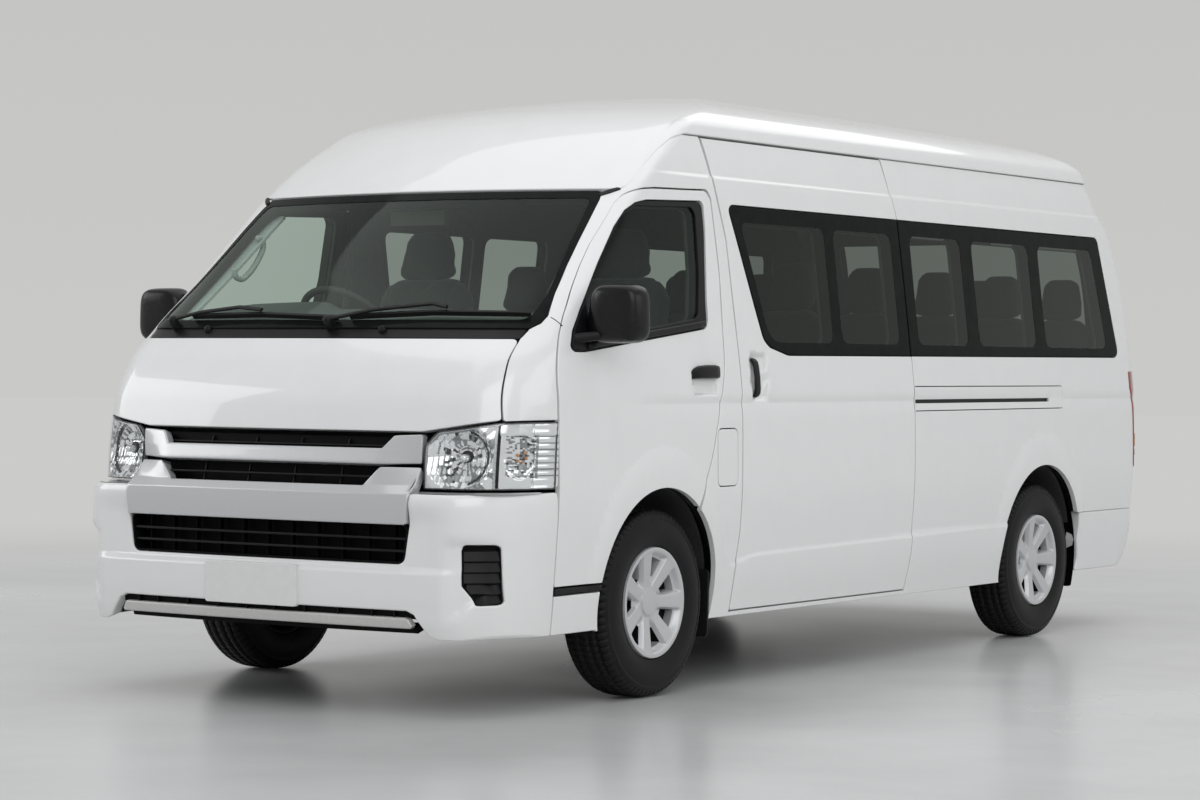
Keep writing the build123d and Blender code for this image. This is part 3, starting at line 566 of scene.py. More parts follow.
def mirrored(obj, name):
    """Copy of an object on the other side of the vehicle."""
    mesh = obj.data
    verts = np.array([v.co[:] for v in mesh.vertices])
    normals = np.array([c.vector[:] for c in mesh.corner_normals])
    faces = [tuple(reversed(p.vertices)) for p in mesh.polygons]
    verts[:, 0] *= -1
    twin = new_mesh(name, verts, faces, None)
    twin.data.polygons.foreach_set("material_index", [p.material_index for p in mesh.polygons])
    twin.data.polygons.foreach_set("use_smooth", [p.use_smooth for p in mesh.polygons])
    for slot_mat in mesh.materials:
        twin.data.materials.append(slot_mat)
    normals[:, 0] *= -1
    flipped = []
    for p in mesh.polygons:
        flipped += [tuple(normals[i]) for i in reversed(list(p.loop_indices))]
    twin.data.normals_split_custom_set(flipped)
    return twin


def skin_normals(skin, uv):
    """Normals of a skin at (u, v) places; for the body they point outwards."""
    e = 0.0015
    du = skin(uv[:, 0] + e, uv[:, 1]) - skin(uv[:, 0] - e, uv[:, 1])
    dv = skin(uv[:, 0], uv[:, 1] + e) - skin(uv[:, 0], uv[:, 1] - e)
    return unit(np.cross(du, dv), 1e-12)


def panel(name, skin, loops, mat, step=0.02, edge=0.0025, gap=0.0034, depth=0.018, lift=0.0,
          rows=(), segments=4, spots=()):
    """Sheet of a skin inside the first loop and outside the rest, with rounded, folded rims.

    gap is left free round the loops; lift moves the sheet along its normal."""
    cut = []
    for i, loop in enumerate(loops):
        loop = np.array(loop, float)
        if (area(loop) < 0) == (i == 0):
            loop = loop[::-1]
        cut.append(inset(loop, gap + edge))
    lo, hi = cut[0].min(0), cut[0].max(0)
    us = np.arange(lo[0] + step / 2, hi[0], step)
    vs = np.arange(lo[1] + step / 2, hi[1], step)
    for low, high, fine in rows:
        vs = vs[(vs < low) | (vs > high)]
        vs = np.sort(np.append(vs, np.arange(low, high, fine)))
    grid = np.stack(np.meshgrid(us, vs), -1).reshape(-1, 2)
    for corners in spots:
        (u0, v0), (u1, v1) = place("side", corners)
        kept = (grid[:, 0] < u0) | (grid[:, 0] > u1) | (grid[:, 1] < v0) | (grid[:, 1] > v1)
        more = np.meshgrid(np.arange(u0, u1, 0.004), np.arange(v0, v1, 0.004))
        grid = np.concatenate([grid[kept], np.stack(more, -1).reshape(-1, 2)])
    grid = grid[inside(grid, cut)]
    grid = grid[clear_of(grid, cut, min(step * 0.45, 0.006) if rows else step * 0.45)]
    flat = np.concatenate(cut + [grid])
    edges, start = [], 0
    for loop in cut:
        n = len(loop)
        edges += [(start + k, start + (k + 1) % n) for k in range(n)]
        start += n
    made = delaunay_2d_cdt([Vector(p) for p in flat], edges, [], 0, 1e-7)
    uv = np.array([v[:] for v in made[0]])
    index = {}
    for out, sources in enumerate(made[3]):
        for s in sources:
            index[s] = out
    tris = np.array([f for f in made[2]])
    tris = tris[inside(uv[tris].mean(1), cut)]
    a, b, c = (uv[tris[:, k]] for k in range(3))
    turned = (b[:, 0] - a[:, 0]) * (c[:, 1] - a[:, 1]) - (b[:, 1] - a[:, 1]) * (c[:, 0] - a[:, 0]) < 0
    tris[turned] = tris[turned][:, ::-1]
    normals = skin_normals(skin, uv)
    verts = skin(uv[:, 0], uv[:, 1]) + normals * lift
    faces = [tuple(f) for f in tris]
    all_v, all_n = [verts], [normals]
    total, start = len(verts), 0
    for loop in cut:
        n = len(loop)
        ids = [index[start + k] for k in range(n)]
        start += n
        p, nn = verts[ids], normals[ids]
        out = unit(np.cross(unit(np.roll(p, -1, 0) - np.roll(p, 1, 0)), nn))
        before = ids
        for k in range(1, segments + 2):
            if k <= segments:
                phi = math.pi / 2 * k / segments
                q = p + edge * math.sin(phi) * out - edge * (1 - math.cos(phi)) * nn
                m = nn * math.cos(phi) + out * math.sin(phi)
            else:
                q = p + edge * out - (edge + depth) * nn
                m = out
            all_v.append(q)
            all_n.append(m)
            now = list(range(total, total + n))
            total += n
            for j in range(n):
                j2 = (j + 1) % n
                faces.append((before[j2], before[j], now[j], now[j2]))
            before = now
    return new_mesh(name, np.concatenate(all_v), faces, mat, np.concatenate(all_n))


def finish_piece(obj, body_name, slot_name, *nodes):
    """Sets the body a piece rides and hides the CAD nodes it stands for; slot_name is not used."""
    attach(obj, body_name)
    if nodes:
        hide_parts(*nodes)


def both_sides(obj, body_name, slot_name, *nodes):
    """Finishes a left piece and its mirror image; a node without a side goes to the left piece."""
    twin = mirrored(obj, obj.name.replace("left", "right"))
    finish_piece(obj, body_name, slot_name, *nodes)
    finish_piece(twin, body_name.replace("left", "right"), slot_name,
                 *[node.replace("left", "right") for node in nodes if "left" in node])


def only_right(form, name, *rest):
    """Finishes the mirror image of a left form, and the form goes."""
    finish_piece(mirrored(form, name), *rest)
    bpy.data.objects.remove(form)


# Outlines in mm made into (u, z): closed ones, and two kinds of open line.
def side(points):
    return place("side", dense(points))


def front(points, levels=BODY_AT):
    return place("front", dense(points), levels)


def rear(points):
    return place("rear", dense(points))


def frontal(points):
    return place("front", dense(points, close=False))


def flanking(points):
    return place("side", dense(points, close=False))


# ---- Body panels --------------------------------------------------------------------
DOOR_TOP = [(351, 829), (420, 1045), (461, 1158), (485, 1505), (472, 1779), (446, 1810), (330, 1806),
            (90, 1800), (-10, 1792), (-70, 1773), (-120, 1737), (-192, 1673), (-288, 1588), (-370, 1508),
            (-460, 1416), (-540, 1328), (-585, 1262), (-617, 1185), (-630, 1110), (-633, 1018)]
DOOR_RADII = [500, 500, 500, 900, 40, 40] + [300] * 14
PANE = [(-531, 1232), (-512, 1216), (-444, 1216), (353, 1305), (370, 1325), (375, 1400), (410, 1662),
        (412, 1750), (395, 1765), (27, 1752), (-52, 1738), (-109, 1711), (-178, 1653), (-303, 1523),
        (-454, 1355), (-509, 1287)]
SLIDER_FRONT = [(466, 2006), (499, 1860), (554, 1630), (570, 1150), (562, 560), (536, 400), (528, 272)]
SLIDER_REAR = [(1892, 272), (1912, 400), (1918, 490), (1925, 1000), (1925, 1500), (1915, 1770),
               (1884, 1860), (1849, 2006)]
BAND = [(588, 1761), (760, 1270), (799, 1242), (933, 1212), (3962, 1222), (3849, 1763)]


def curve(points, radius):
    """Open line in mm with rounded corners."""
    return rounded(points, [0] + [radius] * (len(points) - 2) + [0])


door_rim = rounded(DOOR_TOP + [(-633, 420), (-345, 420), (25, 500), (251, 656)],
                   DOOR_RADII + [0, 0, 0, 0])
cut_at = next(i for i, p in enumerate(door_rim) if p == (-345.0, 420.0))
door_line = door_rim[:cut_at - 1]
door_loop = side(door_line + [(-633, 420)] + arc(FRONT_ARCH, 170.8, 52.6))
pane_hole = side(rounded(PANE, 40))
leaf = panel("front_door_skin_left", body, [door_loop, pane_hole], PAINT, 0.022,
             rows=[(1.0, 1.08, 0.006), (0.80, 0.92, 0.012)], spots=[[(225, 1050), (410, 1155)]])
both_sides(leaf, "front_door_left", "body_paint", "front_door_left")

slider_front = curve(SLIDER_FRONT, 260)
slider_rear = curve(SLIDER_REAR, 260)
band_front = rounded(BAND, [26, 60, 60, 160, 45, 34])
fold_rows = [(0.455, 0.50, 0.005), (1.0, 1.08, 0.006), (1.845, 1.875, 0.005)]

SPLIT = 1918        # where the window band parts between sliding door and body


def band_walk(ahead):
    """Window band's outline ahead of or behind the split, from its top to its foot."""
    runs, run = [], []
    for p in dense(band_front, 20) * 2:
        if (p[0] < SPLIT) == ahead:
            run.append(p)
        elif run:
            runs.append(run)
            run = []
    walk = max(runs, key=len)
    return walk if walk[0][1] > walk[-1][1] else walk[::-1]


front_band = band_walk(True)
rear_band = band_walk(False)


def above(line, z):
    return [p for p in line if p[1] > z]


def below(line, z):
    return [p for p in line if p[1] < z]


slider_skin_loop = side(slider_front + below(slider_rear, 1214) + [(1925, 1214.5)] + front_band[::-1]
                        + [(1915, 1762)] + above(slider_rear, 1766))
slider = panel("sliding_door_skin", body, [slider_skin_loop], PAINT, 0.022, rows=fold_rows,
               spots=[[(635, 1026), (780, 1232)]])
finish_piece(slider, "body", "body_paint", "sliding_door")

ROOF_LINE = [(350, 2010), (272, 1990), (172, 1940), (73, 1880), (-6, 1823), (-40, 1801), (-66, 1789)]
SCREEN_EDGE = [(830, 1290), (849, 1310), (852, 1333), (826, 1409), (802, 1507), (787, 1593), (776, 1666),
               (762, 1745), (748, 1785)]


def side_loop(slide):
    """Outline of a body side; slide takes out the sliding door."""
    loop = [flanking([(383, 250), (2761, 250)] + arc(REAR_ARCH, 196.6, 25.4) + [(4100, 525)])]
    loop.append(place("rear", dense([(800, 525), (760, 525), (760, 2010)], close=False)))
    loop[-1][:, 0] = KNOTS[5] - np.abs(loop[-1][:, 0])
    if slide:
        line = [(4000, 2010), (1852, 2010)] + above(slider_rear[::-1], 1766)[1:] + [(1915, 1762)]
        line += rear_band + [(1925, 1214.5)] + below(slider_rear[::-1], 1214) + slider_front[::-1]
        line += [(466, 2010)]
        loop.append(flanking(line))
    else:
        loop.append(flanking([(4000, 2010), (400, 2010)]))
    loop.append(flanking(curve(ROOF_LINE, 200)))
    loop.append(frontal(SCREEN_EDGE[::-1] + [(826, 1262), (824, 1258), (860, 983)]))
    loop.append(frontal([(866, 978), (900, 980)]))
    loop.append(flanking([(-633, 981)] + door_line[::-1] + arc(FRONT_ARCH, 52.6, -17.1)[1:]))
    return np.concatenate(loop)


FLAP = rounded([(392, 733), (530, 733), (530, 940), (392, 940)], 28)
flap_loop = side(FLAP)
TRIM = rounded([(1931, 994), (3322, 996), (3322, 1090), (1931, 1090)], [3, 10, 14, 3])
RAIL = rounded([(1931, 1024), (3190, 1024), (3190, 1038), (1931, 1038)], [1, 6, 6, 1])
side_left = panel("body_side_skin_left", body, [side_loop(True), flap_loop, side(TRIM)], PAINT, 0.024,
                  gap=0.0030, rows=fold_rows)
trim = panel("rail_trim", body, [side(TRIM), side(RAIL)], PAINT, 0.024, gap=0.0004, edge=0.0015, depth=0.012)
finish_piece(trim, "body", "body_paint")
GROOVE = [(1926, 1014), (3200, 1014), (3200, 1048), (1926, 1048)]
groove = panel("slide_rail", body, [side(rounded(GROOVE, 4))],
               BLACK, 0.03, gap=0, edge=0.001, depth=0.004, lift=-0.011)
finish_piece(groove, "body", "black_trim")
finish_piece(side_left, "body", "body_paint", "body_side_left")
flap = panel("fuel_flap", body, [flap_loop], PAINT, 0.03, gap=0.0008, edge=0.0015, depth=0.01)
finish_piece(flap, "body", "body_paint")
side_plain = panel("side_plain", body, [side_loop(False), side(band_front)], PAINT, 0.024, gap=0.0018,
                   rows=fold_rows)
only_right(side_plain, "body_side_skin_right", "body", "body_paint", "body_side_right")

# ---- Side windows -------------------------------------------------------------------
LIGHTS = {
    "front": [[(672, 1700), (800, 1300), (850, 1262), (1290, 1262), (1290, 1700)],
              [(1368, 1262), (1836, 1262), (1836, 1700), (1368, 1700)]],
    "rear": [[(2006, 1262), (2448, 1262), (2448, 1700), (2006, 1700)],
             [(2560, 1262), (3100, 1262), (3100, 1700), (2560, 1700)],
             [(3205, 1262), (3838, 1262), (3760, 1700), (3205, 1700)]],
}


THIN = dict(gap=0, edge=0.0002, depth=0.0006)       # a pane of glass


def light_loops(holes):
    """Outlines of the side windows' see-through parts."""
    return [side(rounded(h, [30, 90, 90, 40, 40] if len(h) == 5 else 45)) for h in holes]


def window_band(part, outline, holes):
    """Black glass band with its see-through lights."""
    lights = light_loops(holes)
    pieces = [panel("band_" + part, body, [side(outline)] + lights, GLOSSBLACK, 0.03, gap=0.002,
                    edge=0.0015, depth=0.046, lift=-0.0005)]
    for k, light in enumerate(lights):
        pieces.append(panel("light_%s_%d" % (part, k), body, [inset(light, -0.004)], TINT, 0.06,
                            lift=-0.0016, **THIN))
    return pieces


for part, outline, holes, node in (
        ("slider", [(1910, 1762), (1918, 1500), (1918, 1215.3)] + front_band[::-1], LIGHTS["front"],
         "sliding_door_glass"),
        ("rear_left", [(1924, 1215.3)] + rear_band[::-1] + [(1916, 1762), (1924, 1500)], LIGHTS["rear"],
         "side_glass_left"),
        ("plain", band_front, LIGHTS["front"] + LIGHTS["rear"], "side_glass_right")):
    for k, piece in enumerate(window_band(part, outline, holes)):
        rest = ["body", "dark_glass"] + ([] if k else [node])
        if part == "plain":
            only_right(piece, "light_right_%d" % k if k else "band_right", *rest)
        else:
            finish_piece(piece, *rest)

# Front door windows: black frame and sail, pane.
PANE_LIGHT = [(-400, 1262), (2, 1303), (311, 1341), (345, 1500), (358, 1711), (334, 1742), (-42, 1730),
              (-128, 1690), (-215, 1609), (-374, 1445), (-400, 1397)]
pane_light = side(rounded(PANE_LIGHT, 40))
pane_frame = panel("door_frame_left", body, [pane_hole, pane_light], BLACK, 0.03, gap=0.001, edge=0.003,
                   depth=0.036, lift=-0.004)
door_glass = panel("door_pane_left", body, [inset(pane_light, -0.006)], CLEAR, 0.06, lift=-0.012, **THIN)
both_sides(pane_frame, "front_door_left", "black_trim")
both_sides(door_glass, "front_door_left", "clear_glass", "front_door_glass_left")

# ---- Roof ---------------------------------------------------------------------------
seam = np.array([(-3000, 1789)] + curve(ROOF_LINE, 200)[::-1] + [(9000, 2010)]) / 1000
seam = seam[np.argsort(seam[:, 0])]


def roof_low(u):
    """Height of the roof's lower edge at places round the body."""
    lo, hi = np.full_like(u, 1.72), np.full_like(u, 2.06)
    for _ in range(30):
        mid = (lo + hi) / 2
        d = body(u, mid)[:, 1] - AXLE_Y
        under = mid < np.interp(d, seam[:, 0], seam[:, 1])
        lo, hi = np.where(under, mid, lo), np.where(under, hi, mid)
    return lo + 0.0045


def round_the_body():
    """Places round the body, closer where it turns."""
    half = np.concatenate([np.linspace(0, 0.62, 22)[:-1], np.linspace(0.62, 1.1, 40)[:-1],
                           np.linspace(1.1, 5.35, 70)[:-1], np.linspace(5.35, 5.7, 18)[:-1],
                           np.linspace(5.7, 6.4, 12)])
    return np.concatenate([half, -half[-2:0:-1]])


def make_roof():
    u = round_the_body()
    n = len(u)
    low = roof_low(np.where(u == 0, 1e-6, u))
    steps = np.concatenate([np.linspace(0, 0.5, 34)[:-1], np.linspace(0.5, 1, 26)])
    verts, normals, faces = [], [], []
    uv0 = np.stack([np.where(u == 0, 1e-6, u), low], -1)
    n0 = skin_normals(body, uv0)
    proud = 0.008 * smooth(np.abs(u), 0.75, 1.05)
    p0 = body(uv0[:, 0], uv0[:, 1]) + proud[:, None] * n0
    down = unit(np.cross(np.roll(p0, -1, 0) - np.roll(p0, 1, 0), n0))
    edge = 0.005
    verts.append(p0 + edge * down - (edge + 0.03) * n0)
    normals.append(down)
    for phi in np.linspace(math.pi / 2, math.pi / 8, 4):
        verts.append(p0 + edge * math.sin(phi) * down - edge * (1 - math.cos(phi)) * n0)
        normals.append(n0 * math.cos(phi) + down * math.sin(phi))
    for s in steps:
        uv = np.stack([uv0[:, 0], low + (TOP - 0.002 - low) * s], -1)
        facing = skin_normals(body, uv)
        verts.append(body(uv[:, 0], uv[:, 1]) + proud[:, None] * (1 - smooth(s, 0.0, 0.10)) * facing)
        normals.append(facing)
    normals[-1][:] = (0, 0, 1)
    rows = len(verts)
    for j in range(rows - 1):
        for i in range(n):
            i2 = (i + 1) % n
            faces.append((j * n + i, j * n + i2, (j + 1) * n + i2, (j + 1) * n + i))
    top = (rows - 1) * n
    for i in range(n // 2):
        a, b = top + i, top + i + 1
        c, d = top + (n - i - 1) % n, top + (n - i) % n
        face = tuple(dict.fromkeys((a, b, c, d)))
        if len(face) > 2:
            faces.append(face)
    return new_mesh("roof_skin", np.concatenate(verts), faces, PAINT, np.concatenate(normals))


finish_piece(make_roof(), "body", "body_paint", "roof")

# ---- Windscreen, cowl, bonnet -------------------------------------------------------
screen_loop = front(rounded(both(SCREEN_EDGE), 26))
GLASS_EDGE = [(814, 1322), (805, 1409), (781, 1507), (762, 1593), (749, 1666), (730, 1754)]
glass_loop = front(rounded(both(GLASS_EDGE), 34))
frit = panel("windscreen_border", body, [screen_loop, glass_loop], GLOSSBLACK, 0.03, gap=0.001,
             edge=0.002, depth=0.036, lift=-0.001)
screen = panel("windscreen_glass", body, [inset(glass_loop, -0.006)], CLEAR, 0.05, lift=-0.003, **THIN)
finish_piece(frit, "body", "black_trim")
finish_piece(screen, "body", "clear_glass", "windscreen")
cowl = panel("cowl_cover", body, [front(rounded(both([(826, 1258), (822, 1296)]), 8))], BLACK, 0.02,
             gap=0.001, edge=0.003, depth=0.03, lift=-0.006)
finish_piece(cowl, "body", "black_trim", "cowl_panel")
bonnet_loop = front(rounded(both([(600, 941), (860, 981), (824, 1259)]), [24, 14, 60, 60, 14, 24]))
bonnet = panel("bonnet_skin", body, [bonnet_loop], PAINT, 0.022, gap=0.0028, edge=0.004, depth=0.03)
finish_piece(bonnet, "bonnet", "body_paint", "bonnet")

# ---- Front bumper -------------------------------------------------------------------
SLOT_END = [(612, 352), (640, 340), (694, 268)]


def fog_outline(edge):
    """Fog recess, in mm, out to an outer edge."""
    return rounded([(838, 377), (edge, 377), (edge, 571), (800, 571), (800, 440)], [12, 14, 14, 18, 14])


def bumper_loop():
    """Outline of the front bumper."""
    low = place("front", dense([(0, 352)] + SLOT_END + [(730, 258), (800, 257)], close=False), APRON_AT)
    flank = place("side", dense([(-700, 257), (-633, 257), (-633, 742), (-700, 742)], close=False), APRON_AT)
    flank[:, 0] = np.abs(flank[:, 0])
    notch = [(612, 742), (609, 634)] + rounded([(609, 634), (590, 508), (0, 508)], [0, 30, 0])[1:]
    high = place("front", dense([(800, 742)] + notch, close=False), APRON_AT)
    half = np.concatenate([low, flank, high])
    half = half[half[:, 0] > 1e-4]
    start, end = np.array([[0, 0.352]]), np.array([[0, 0.508]])
    left = np.concatenate([start, half, end])
    other = half[::-1].copy()
    other[:, 0] *= -1
    return np.concatenate([left, other])


fog_loop = place("front", dense(fog_outline(886)), APRON_AT)
fog_other = fog_loop.copy()
fog_other[:, 0] *= -1
bumper = panel("front_bumper_skin", apron, [bumper_loop(), fog_loop, fog_other], PAINT, 0.02, gap=0.0015,
               edge=0.007, depth=0.035, rows=[(0.46, 0.52, 0.006)], segments=6)
finish_piece(bumper, "body", "bumper_paint", "front_bumper")
skirt = panel("front_skirt_left", body, [side([(-629, 256)] + arc(FRONT_ARCH, 196.1, 174.6)
                                              + [(-629, 394)])], PAINT, 0.03, edge=0.005)
strip = panel("skirt_strip_left", body, [side([(-629, 396), (-347, 396), (-345, 418), (-629, 418)])],
              BLACK, 0.03, gap=0.001, edge=0.003, lift=0.001)
both_sides(skirt, "body", "bumper_paint", "door_steps")
both_sides(strip, "body", "black_trim")


def rail(name, skin, uv, section, mat):
    """Bar that follows a line of a skin; section is (across, out) in metres, anticlockwise."""
    uv = np.array(uv, float)
    p, n = skin(uv[:, 0], uv[:, 1]), skin_normals(skin, uv)
    across = unit(np.cross(n, unit(np.gradient(p, axis=0))))
    m, faces = len(section), []
    verts = np.stack([p + across * a + n * b for a, b in section], 1).reshape(-1, 3)
    for i in range(len(uv) - 1):
        for k in range(m):
            k2 = (k + 1) % m
            faces.append((i * m + k, (i + 1) * m + k, (i + 1) * m + k2, i * m + k2))
    faces += [tuple(range(m)), tuple(range(len(verts) - 1, len(verts) - 1 - m, -1))]
    return new_mesh(name, verts, faces, mat, smooth_faces=False)


def bar_section(high, deep, soft=0.003, out=0.0):
    """Rounded rectangle: its height, its depth inwards, its corner, how far it stands out."""
    pts = []
    high = high / 2 - soft
    for cx, cy, start in ((high, out - soft, 0), (-high, out - soft, 90),
                          (-high, out - deep + soft, 180), (high, out - deep + soft, 270)):
        for a in (0, 30, 60, 90):
            r = math.radians(start + a)
            pts.append((cx + soft * math.cos(r), cy + soft * math.sin(r)))
    return pts


def level(z, x0, x1, count=90):
    """Level line across the bumper, in mm."""
    return place("front", [(x, z) for x in np.linspace(x0, x1, count)], APRON_AT)


def joined(name, objs):
    """One object from several with the same look."""
    verts, faces, mats, flags = [], [], [], []
    total = 0
    names = []
    for o in objs:
        for m in o.data.materials:
            if m not in names:
                names.append(m)
    for o in objs:
        slots = [names.index(m) for m in o.data.materials]
        verts += [o.matrix_world @ v.co for v in o.data.vertices]
        for p in o.data.polygons:
            faces.append(tuple(i + total for i in p.vertices))
            mats.append(slots[p.material_index])
            flags.append(p.use_smooth)
        total = len(verts)
    made = new_mesh(name, verts, faces, None)
    for m in names:
        made.data.materials.append(m)
    made.data.polygons.foreach_set("material_index", mats)
    made.data.polygons.foreach_set("use_smooth", flags)
    for o in objs:
        bpy.data.objects.remove(o)
    return made


# Air intake: dark back, two bars and upright fins.
back_loop = front(rounded(both([(586, 500), (604, 636)]), 20), APRON_AT)
pieces = [panel("intake_back", apron, [back_loop], DARK, 0.04, gap=0, edge=0.002, depth=0.01, lift=-0.06)]
wall = front(rounded(both([(590, 508), (609, 640)]), 30), APRON_AT)
pieces.append(panel("intake_wall", apron, [wall, shrunk(wall, 0.005)], DARK, 0.04,
                    gap=-0.0006, edge=0.0006, depth=0.055, lift=-0.006))
for z, x in ((0.549, 594), (0.590, 600)):
    pieces.append(rail("bar", apron, level(z * 1000, -x, x), bar_section(0.009, 0.030, 0.003, -0.012), BLACK))
for k in range(-5, 6):
    x = 107 * k
    uv = place("front", [(x, z) for z in (506, 545, 590, 634)], APRON_AT)
    pieces.append(rail("fin", apron, uv, bar_section(0.004, 0.022, 0.001, -0.030), DARK))
finish_piece(joined("intake_grille", pieces), "body", "black_trim", "intake_grilles")

# Fog recesses: dark back, louvres, and dark walls over the bumper's painted fold that are painted shade.
pieces = []
for sign in (1, -1):
    uv = place("front", dense(fog_outline(885)), APRON_AT)
    uv[:, 0] *= sign
    pieces.append(panel("fog_back", apron, [uv], DARK, 0.03, gap=0, edge=0.002, depth=0.01, lift=-0.018))
    # Dark ring over the recess's painted walls: painted shade.
    wall = fog_loop if sign > 0 else fog_other
    pieces.append(panel("fog_wall", apron, [wall, shrunk(wall, 0.004)], DARK, 0.03, gap=-0.0006, edge=0.0006,
                        depth=0.020, lift=-0.006))
    for k in range(5):
        z = 393 + 36 * k
        start = 802 if z > 440 else 842 - (z - 377) * 0.6
        uv = level(z, start, 884, count=16) * (sign, 1)
        uv = uv[::sign]
        pieces.append(rail("louvre", apron, uv, [(0.016, -0.016), (-0.014, -0.006), (-0.017, -0.008),
                                                 (-0.017, -0.018)], BLACK))
finish_piece(joined("fog_louvres", pieces), "body", "black_trim")

# Thin slot, pale strip and lip under the bumper.
pieces = [rail("slot", apron, level(345, -640, 640), bar_section(0.040, 0.02, 0.003, -0.022), DARK),
          rail("lip", apron, level(276, -625, 625), bar_section(0.024, 0.05, 0.006, -0.040), DARK)]
for x in (-560, -470, -330, -190, -60, 60, 190, 330, 470, 560):
    uv = place("front", [(x, z) for z in (330, 345, 358)], APRON_AT)
    pieces.append(rail("web", apron, uv, bar_section(0.004, 0.016, 0.001, -0.010), BLACK))
finish_piece(joined("bumper_lip", pieces), "body", "black_trim")
strip_loop = front(rounded(both([(640, 293), (618, 331)]), [6, 10, 10, 6]), APRON_AT)
pale = panel("bumper_strip", apron, [strip_loop], STRIP, 0.02, gap=0.0005, edge=0.006, depth=0.02,
             lift=-0.001)
finish_piece(pale, "body", "garnish_silver")
plate_loop = rounded([(-230, 348), (172, 348), (172, 490), (-230, 490)], 12)


def plate_skin(u, v):
    d = -1.0745 + 0.05 * u * u
    return np.stack([u, d + AXLE_Y, v], -1)


plate = panel("front_plate_blank", plate_skin, [np.array(dense(plate_loop)) / 1000], PLATE, 0.03, gap=0,
              edge=0.003, depth=0.012)
finish_piece(plate, "body", "plate_white", "front_plate")

# ---- Garnish between bonnet and bumper -----------------------------------------------
FACE_Z = [0.60, 0.634, 0.700, 0.737, 0.767, 0.825, 0.842, 0.878, 0.936]
FACE_D = [-1.058, -1.061, -1.064, -1.062, -1.040, -1.026, -1.022, -1.008, -0.982]
FALL_Z, FALL = [0.634, 0.737, 0.767, 0.833, 0.880, 0.934], [0.0, 0.0, 0.022, 0.056, 0.034, 0.012]


def grille_face(u, v):
    ax = np.abs(u)
    d = np.interp(v, FACE_Z, FACE_D) + 0.014 * (ax / 0.61) ** 2
    d = d + smooth(ax, 0.46, 0.625) * np.interp(v, FALL_Z, FALL)
    return np.stack([u, d + AXLE_Y, v], -1)


def straight(points):
    return np.array(dense(points)) / 1000


lower_bar = both([(608, 636), (618, 742), (612, 828), (477, 827), (420, 767)])
upper_bar = both([(610, 834), (612, 935), (505, 932), (469, 890)])
bars = [panel("bar", grille_face, [straight(rounded(lower_bar, [6, 5, 10, 14, 6, 6, 14, 10, 5, 6]))], SILVER,
              0.02, gap=0.0008, edge=0.005, depth=0.03, rows=[(0.725, 0.780, 0.003)], segments=5),
        panel("bar", grille_face, [straight(rounded(upper_bar, [6, 5, 8, 5, 5, 8, 5, 6]))], SILVER,
              0.02, gap=0.0008, edge=0.006, depth=0.026, rows=[(0.84, 0.885, 0.004)], segments=5)]
finish_piece(joined("garnish_bars", bars), "body", "garnish_silver", "front_garnish")
backs = [panel("back", body, [front(both([(600, 758), (600, 930)]))], DARK, 0.05, gap=0, edge=0.002,
               depth=0.004, lift=-0.034)]
for z, x, depth in ((0.797, 0.452, 0.020), (0.908, 0.486, 0.034)):
    uv = [(s, z) for s in np.linspace(-x, x, 40)]
    backs.append(rail("web", grille_face, uv, bar_section(0.006, 0.016, 0.002, -depth), BLACK))
for x in (-0.30, -0.10, 0.10, 0.30):
    for low, high in ((0.764, 0.828), (0.888, 0.930)):
        uv = [(x, s) for s in np.linspace(low, high, 4)]
        backs.append(rail("fin", grille_face, uv, bar_section(0.004, 0.012, 0.001, -0.036), BLACK))
finish_piece(joined("garnish_back", backs), "body", "black_trim")


def grid_faces(rows, cols, around=True):
    """Quads over points in rows by columns, closed round the columns or not."""
    return [(i * cols + j, i * cols + (j + 1) % cols, (i + 1) * cols + (j + 1) % cols, (i + 1) * cols + j)
            for i in range(rows - 1) for j in range(cols - (not around))]


def sheet(name, points, mat, round_u=False, flip=False):
    """Skin over a grid of points, rows by columns."""
    faces = grid_faces(*points.shape[:2], round_u)
    return new_mesh(name, points.reshape(-1, 3), [f[::-1] for f in faces] if flip else faces, mat)


x = np.linspace(-0.925, 0.925, 90)
low_uv = place("front", np.stack([x, np.full_like(x, 0.7405)], -1) * 1000, APRON_AT)
high_uv = place("front", np.stack([x, np.full_like(x, 0.760)], -1) * 1000)
p_low, p_high = apron(low_uv[:, 0], low_uv[:, 1]), body(high_uv[:, 0], high_uv[:, 1])
p_low[:, 1] += 0.008
p_high[:, 1] = np.maximum(p_high[:, 1], p_low[:, 1]) + 0.02
p_low[:, 2], p_high[:, 2] = 0.7405, 0.7445
ledge = sheet("bumper_ledge", np.stack([p_low, p_low * 0.5 + p_high * 0.5, p_high]), PAINT)
finish_piece(ledge, "body", "bumper_paint")

# ---- Headlamps ----------------------------------------------------------------------
BACKWARDS = np.array([-0.22, 0.975, 0.0])
LAMP = rounded([(528, 753), (984, 753), (984, 979), (782, 977), (560, 947), (521, 897)],
               [8, 12, 8, 60, 34, 30])
LAMP_BOWL = rounded([(534, 759), (764, 759), (764, 965), (565, 939), (528, 893)], [6, 4, 6, 26, 24])
LAMP_SIDE = rounded([(774, 759), (977, 759), (977, 972), (790, 970), (774, 965)], [4, 10, 8, 30, 4])
BOWL_U, BOWL_Z, DRUM_U, DRUM_Z = 0.640, 0.858, 0.839, 0.862        # middles of bowl and indicator
FLUTE, TIER = 0.0135, 0.028         # width and height of the bowl's steps
SECTOR, RING_STEP, CELL = math.pi / 22, 0.019, 0.006      # sizes of the reflectors' facets, some painted grey or dark as painted reflections


def hollow(depth):
    """Skin pushed back into the lamp by a depth that varies over it."""
    def made(u, v):
        return body(u, v) + BACKWARDS * depth(u, v)[:, None]
    return made


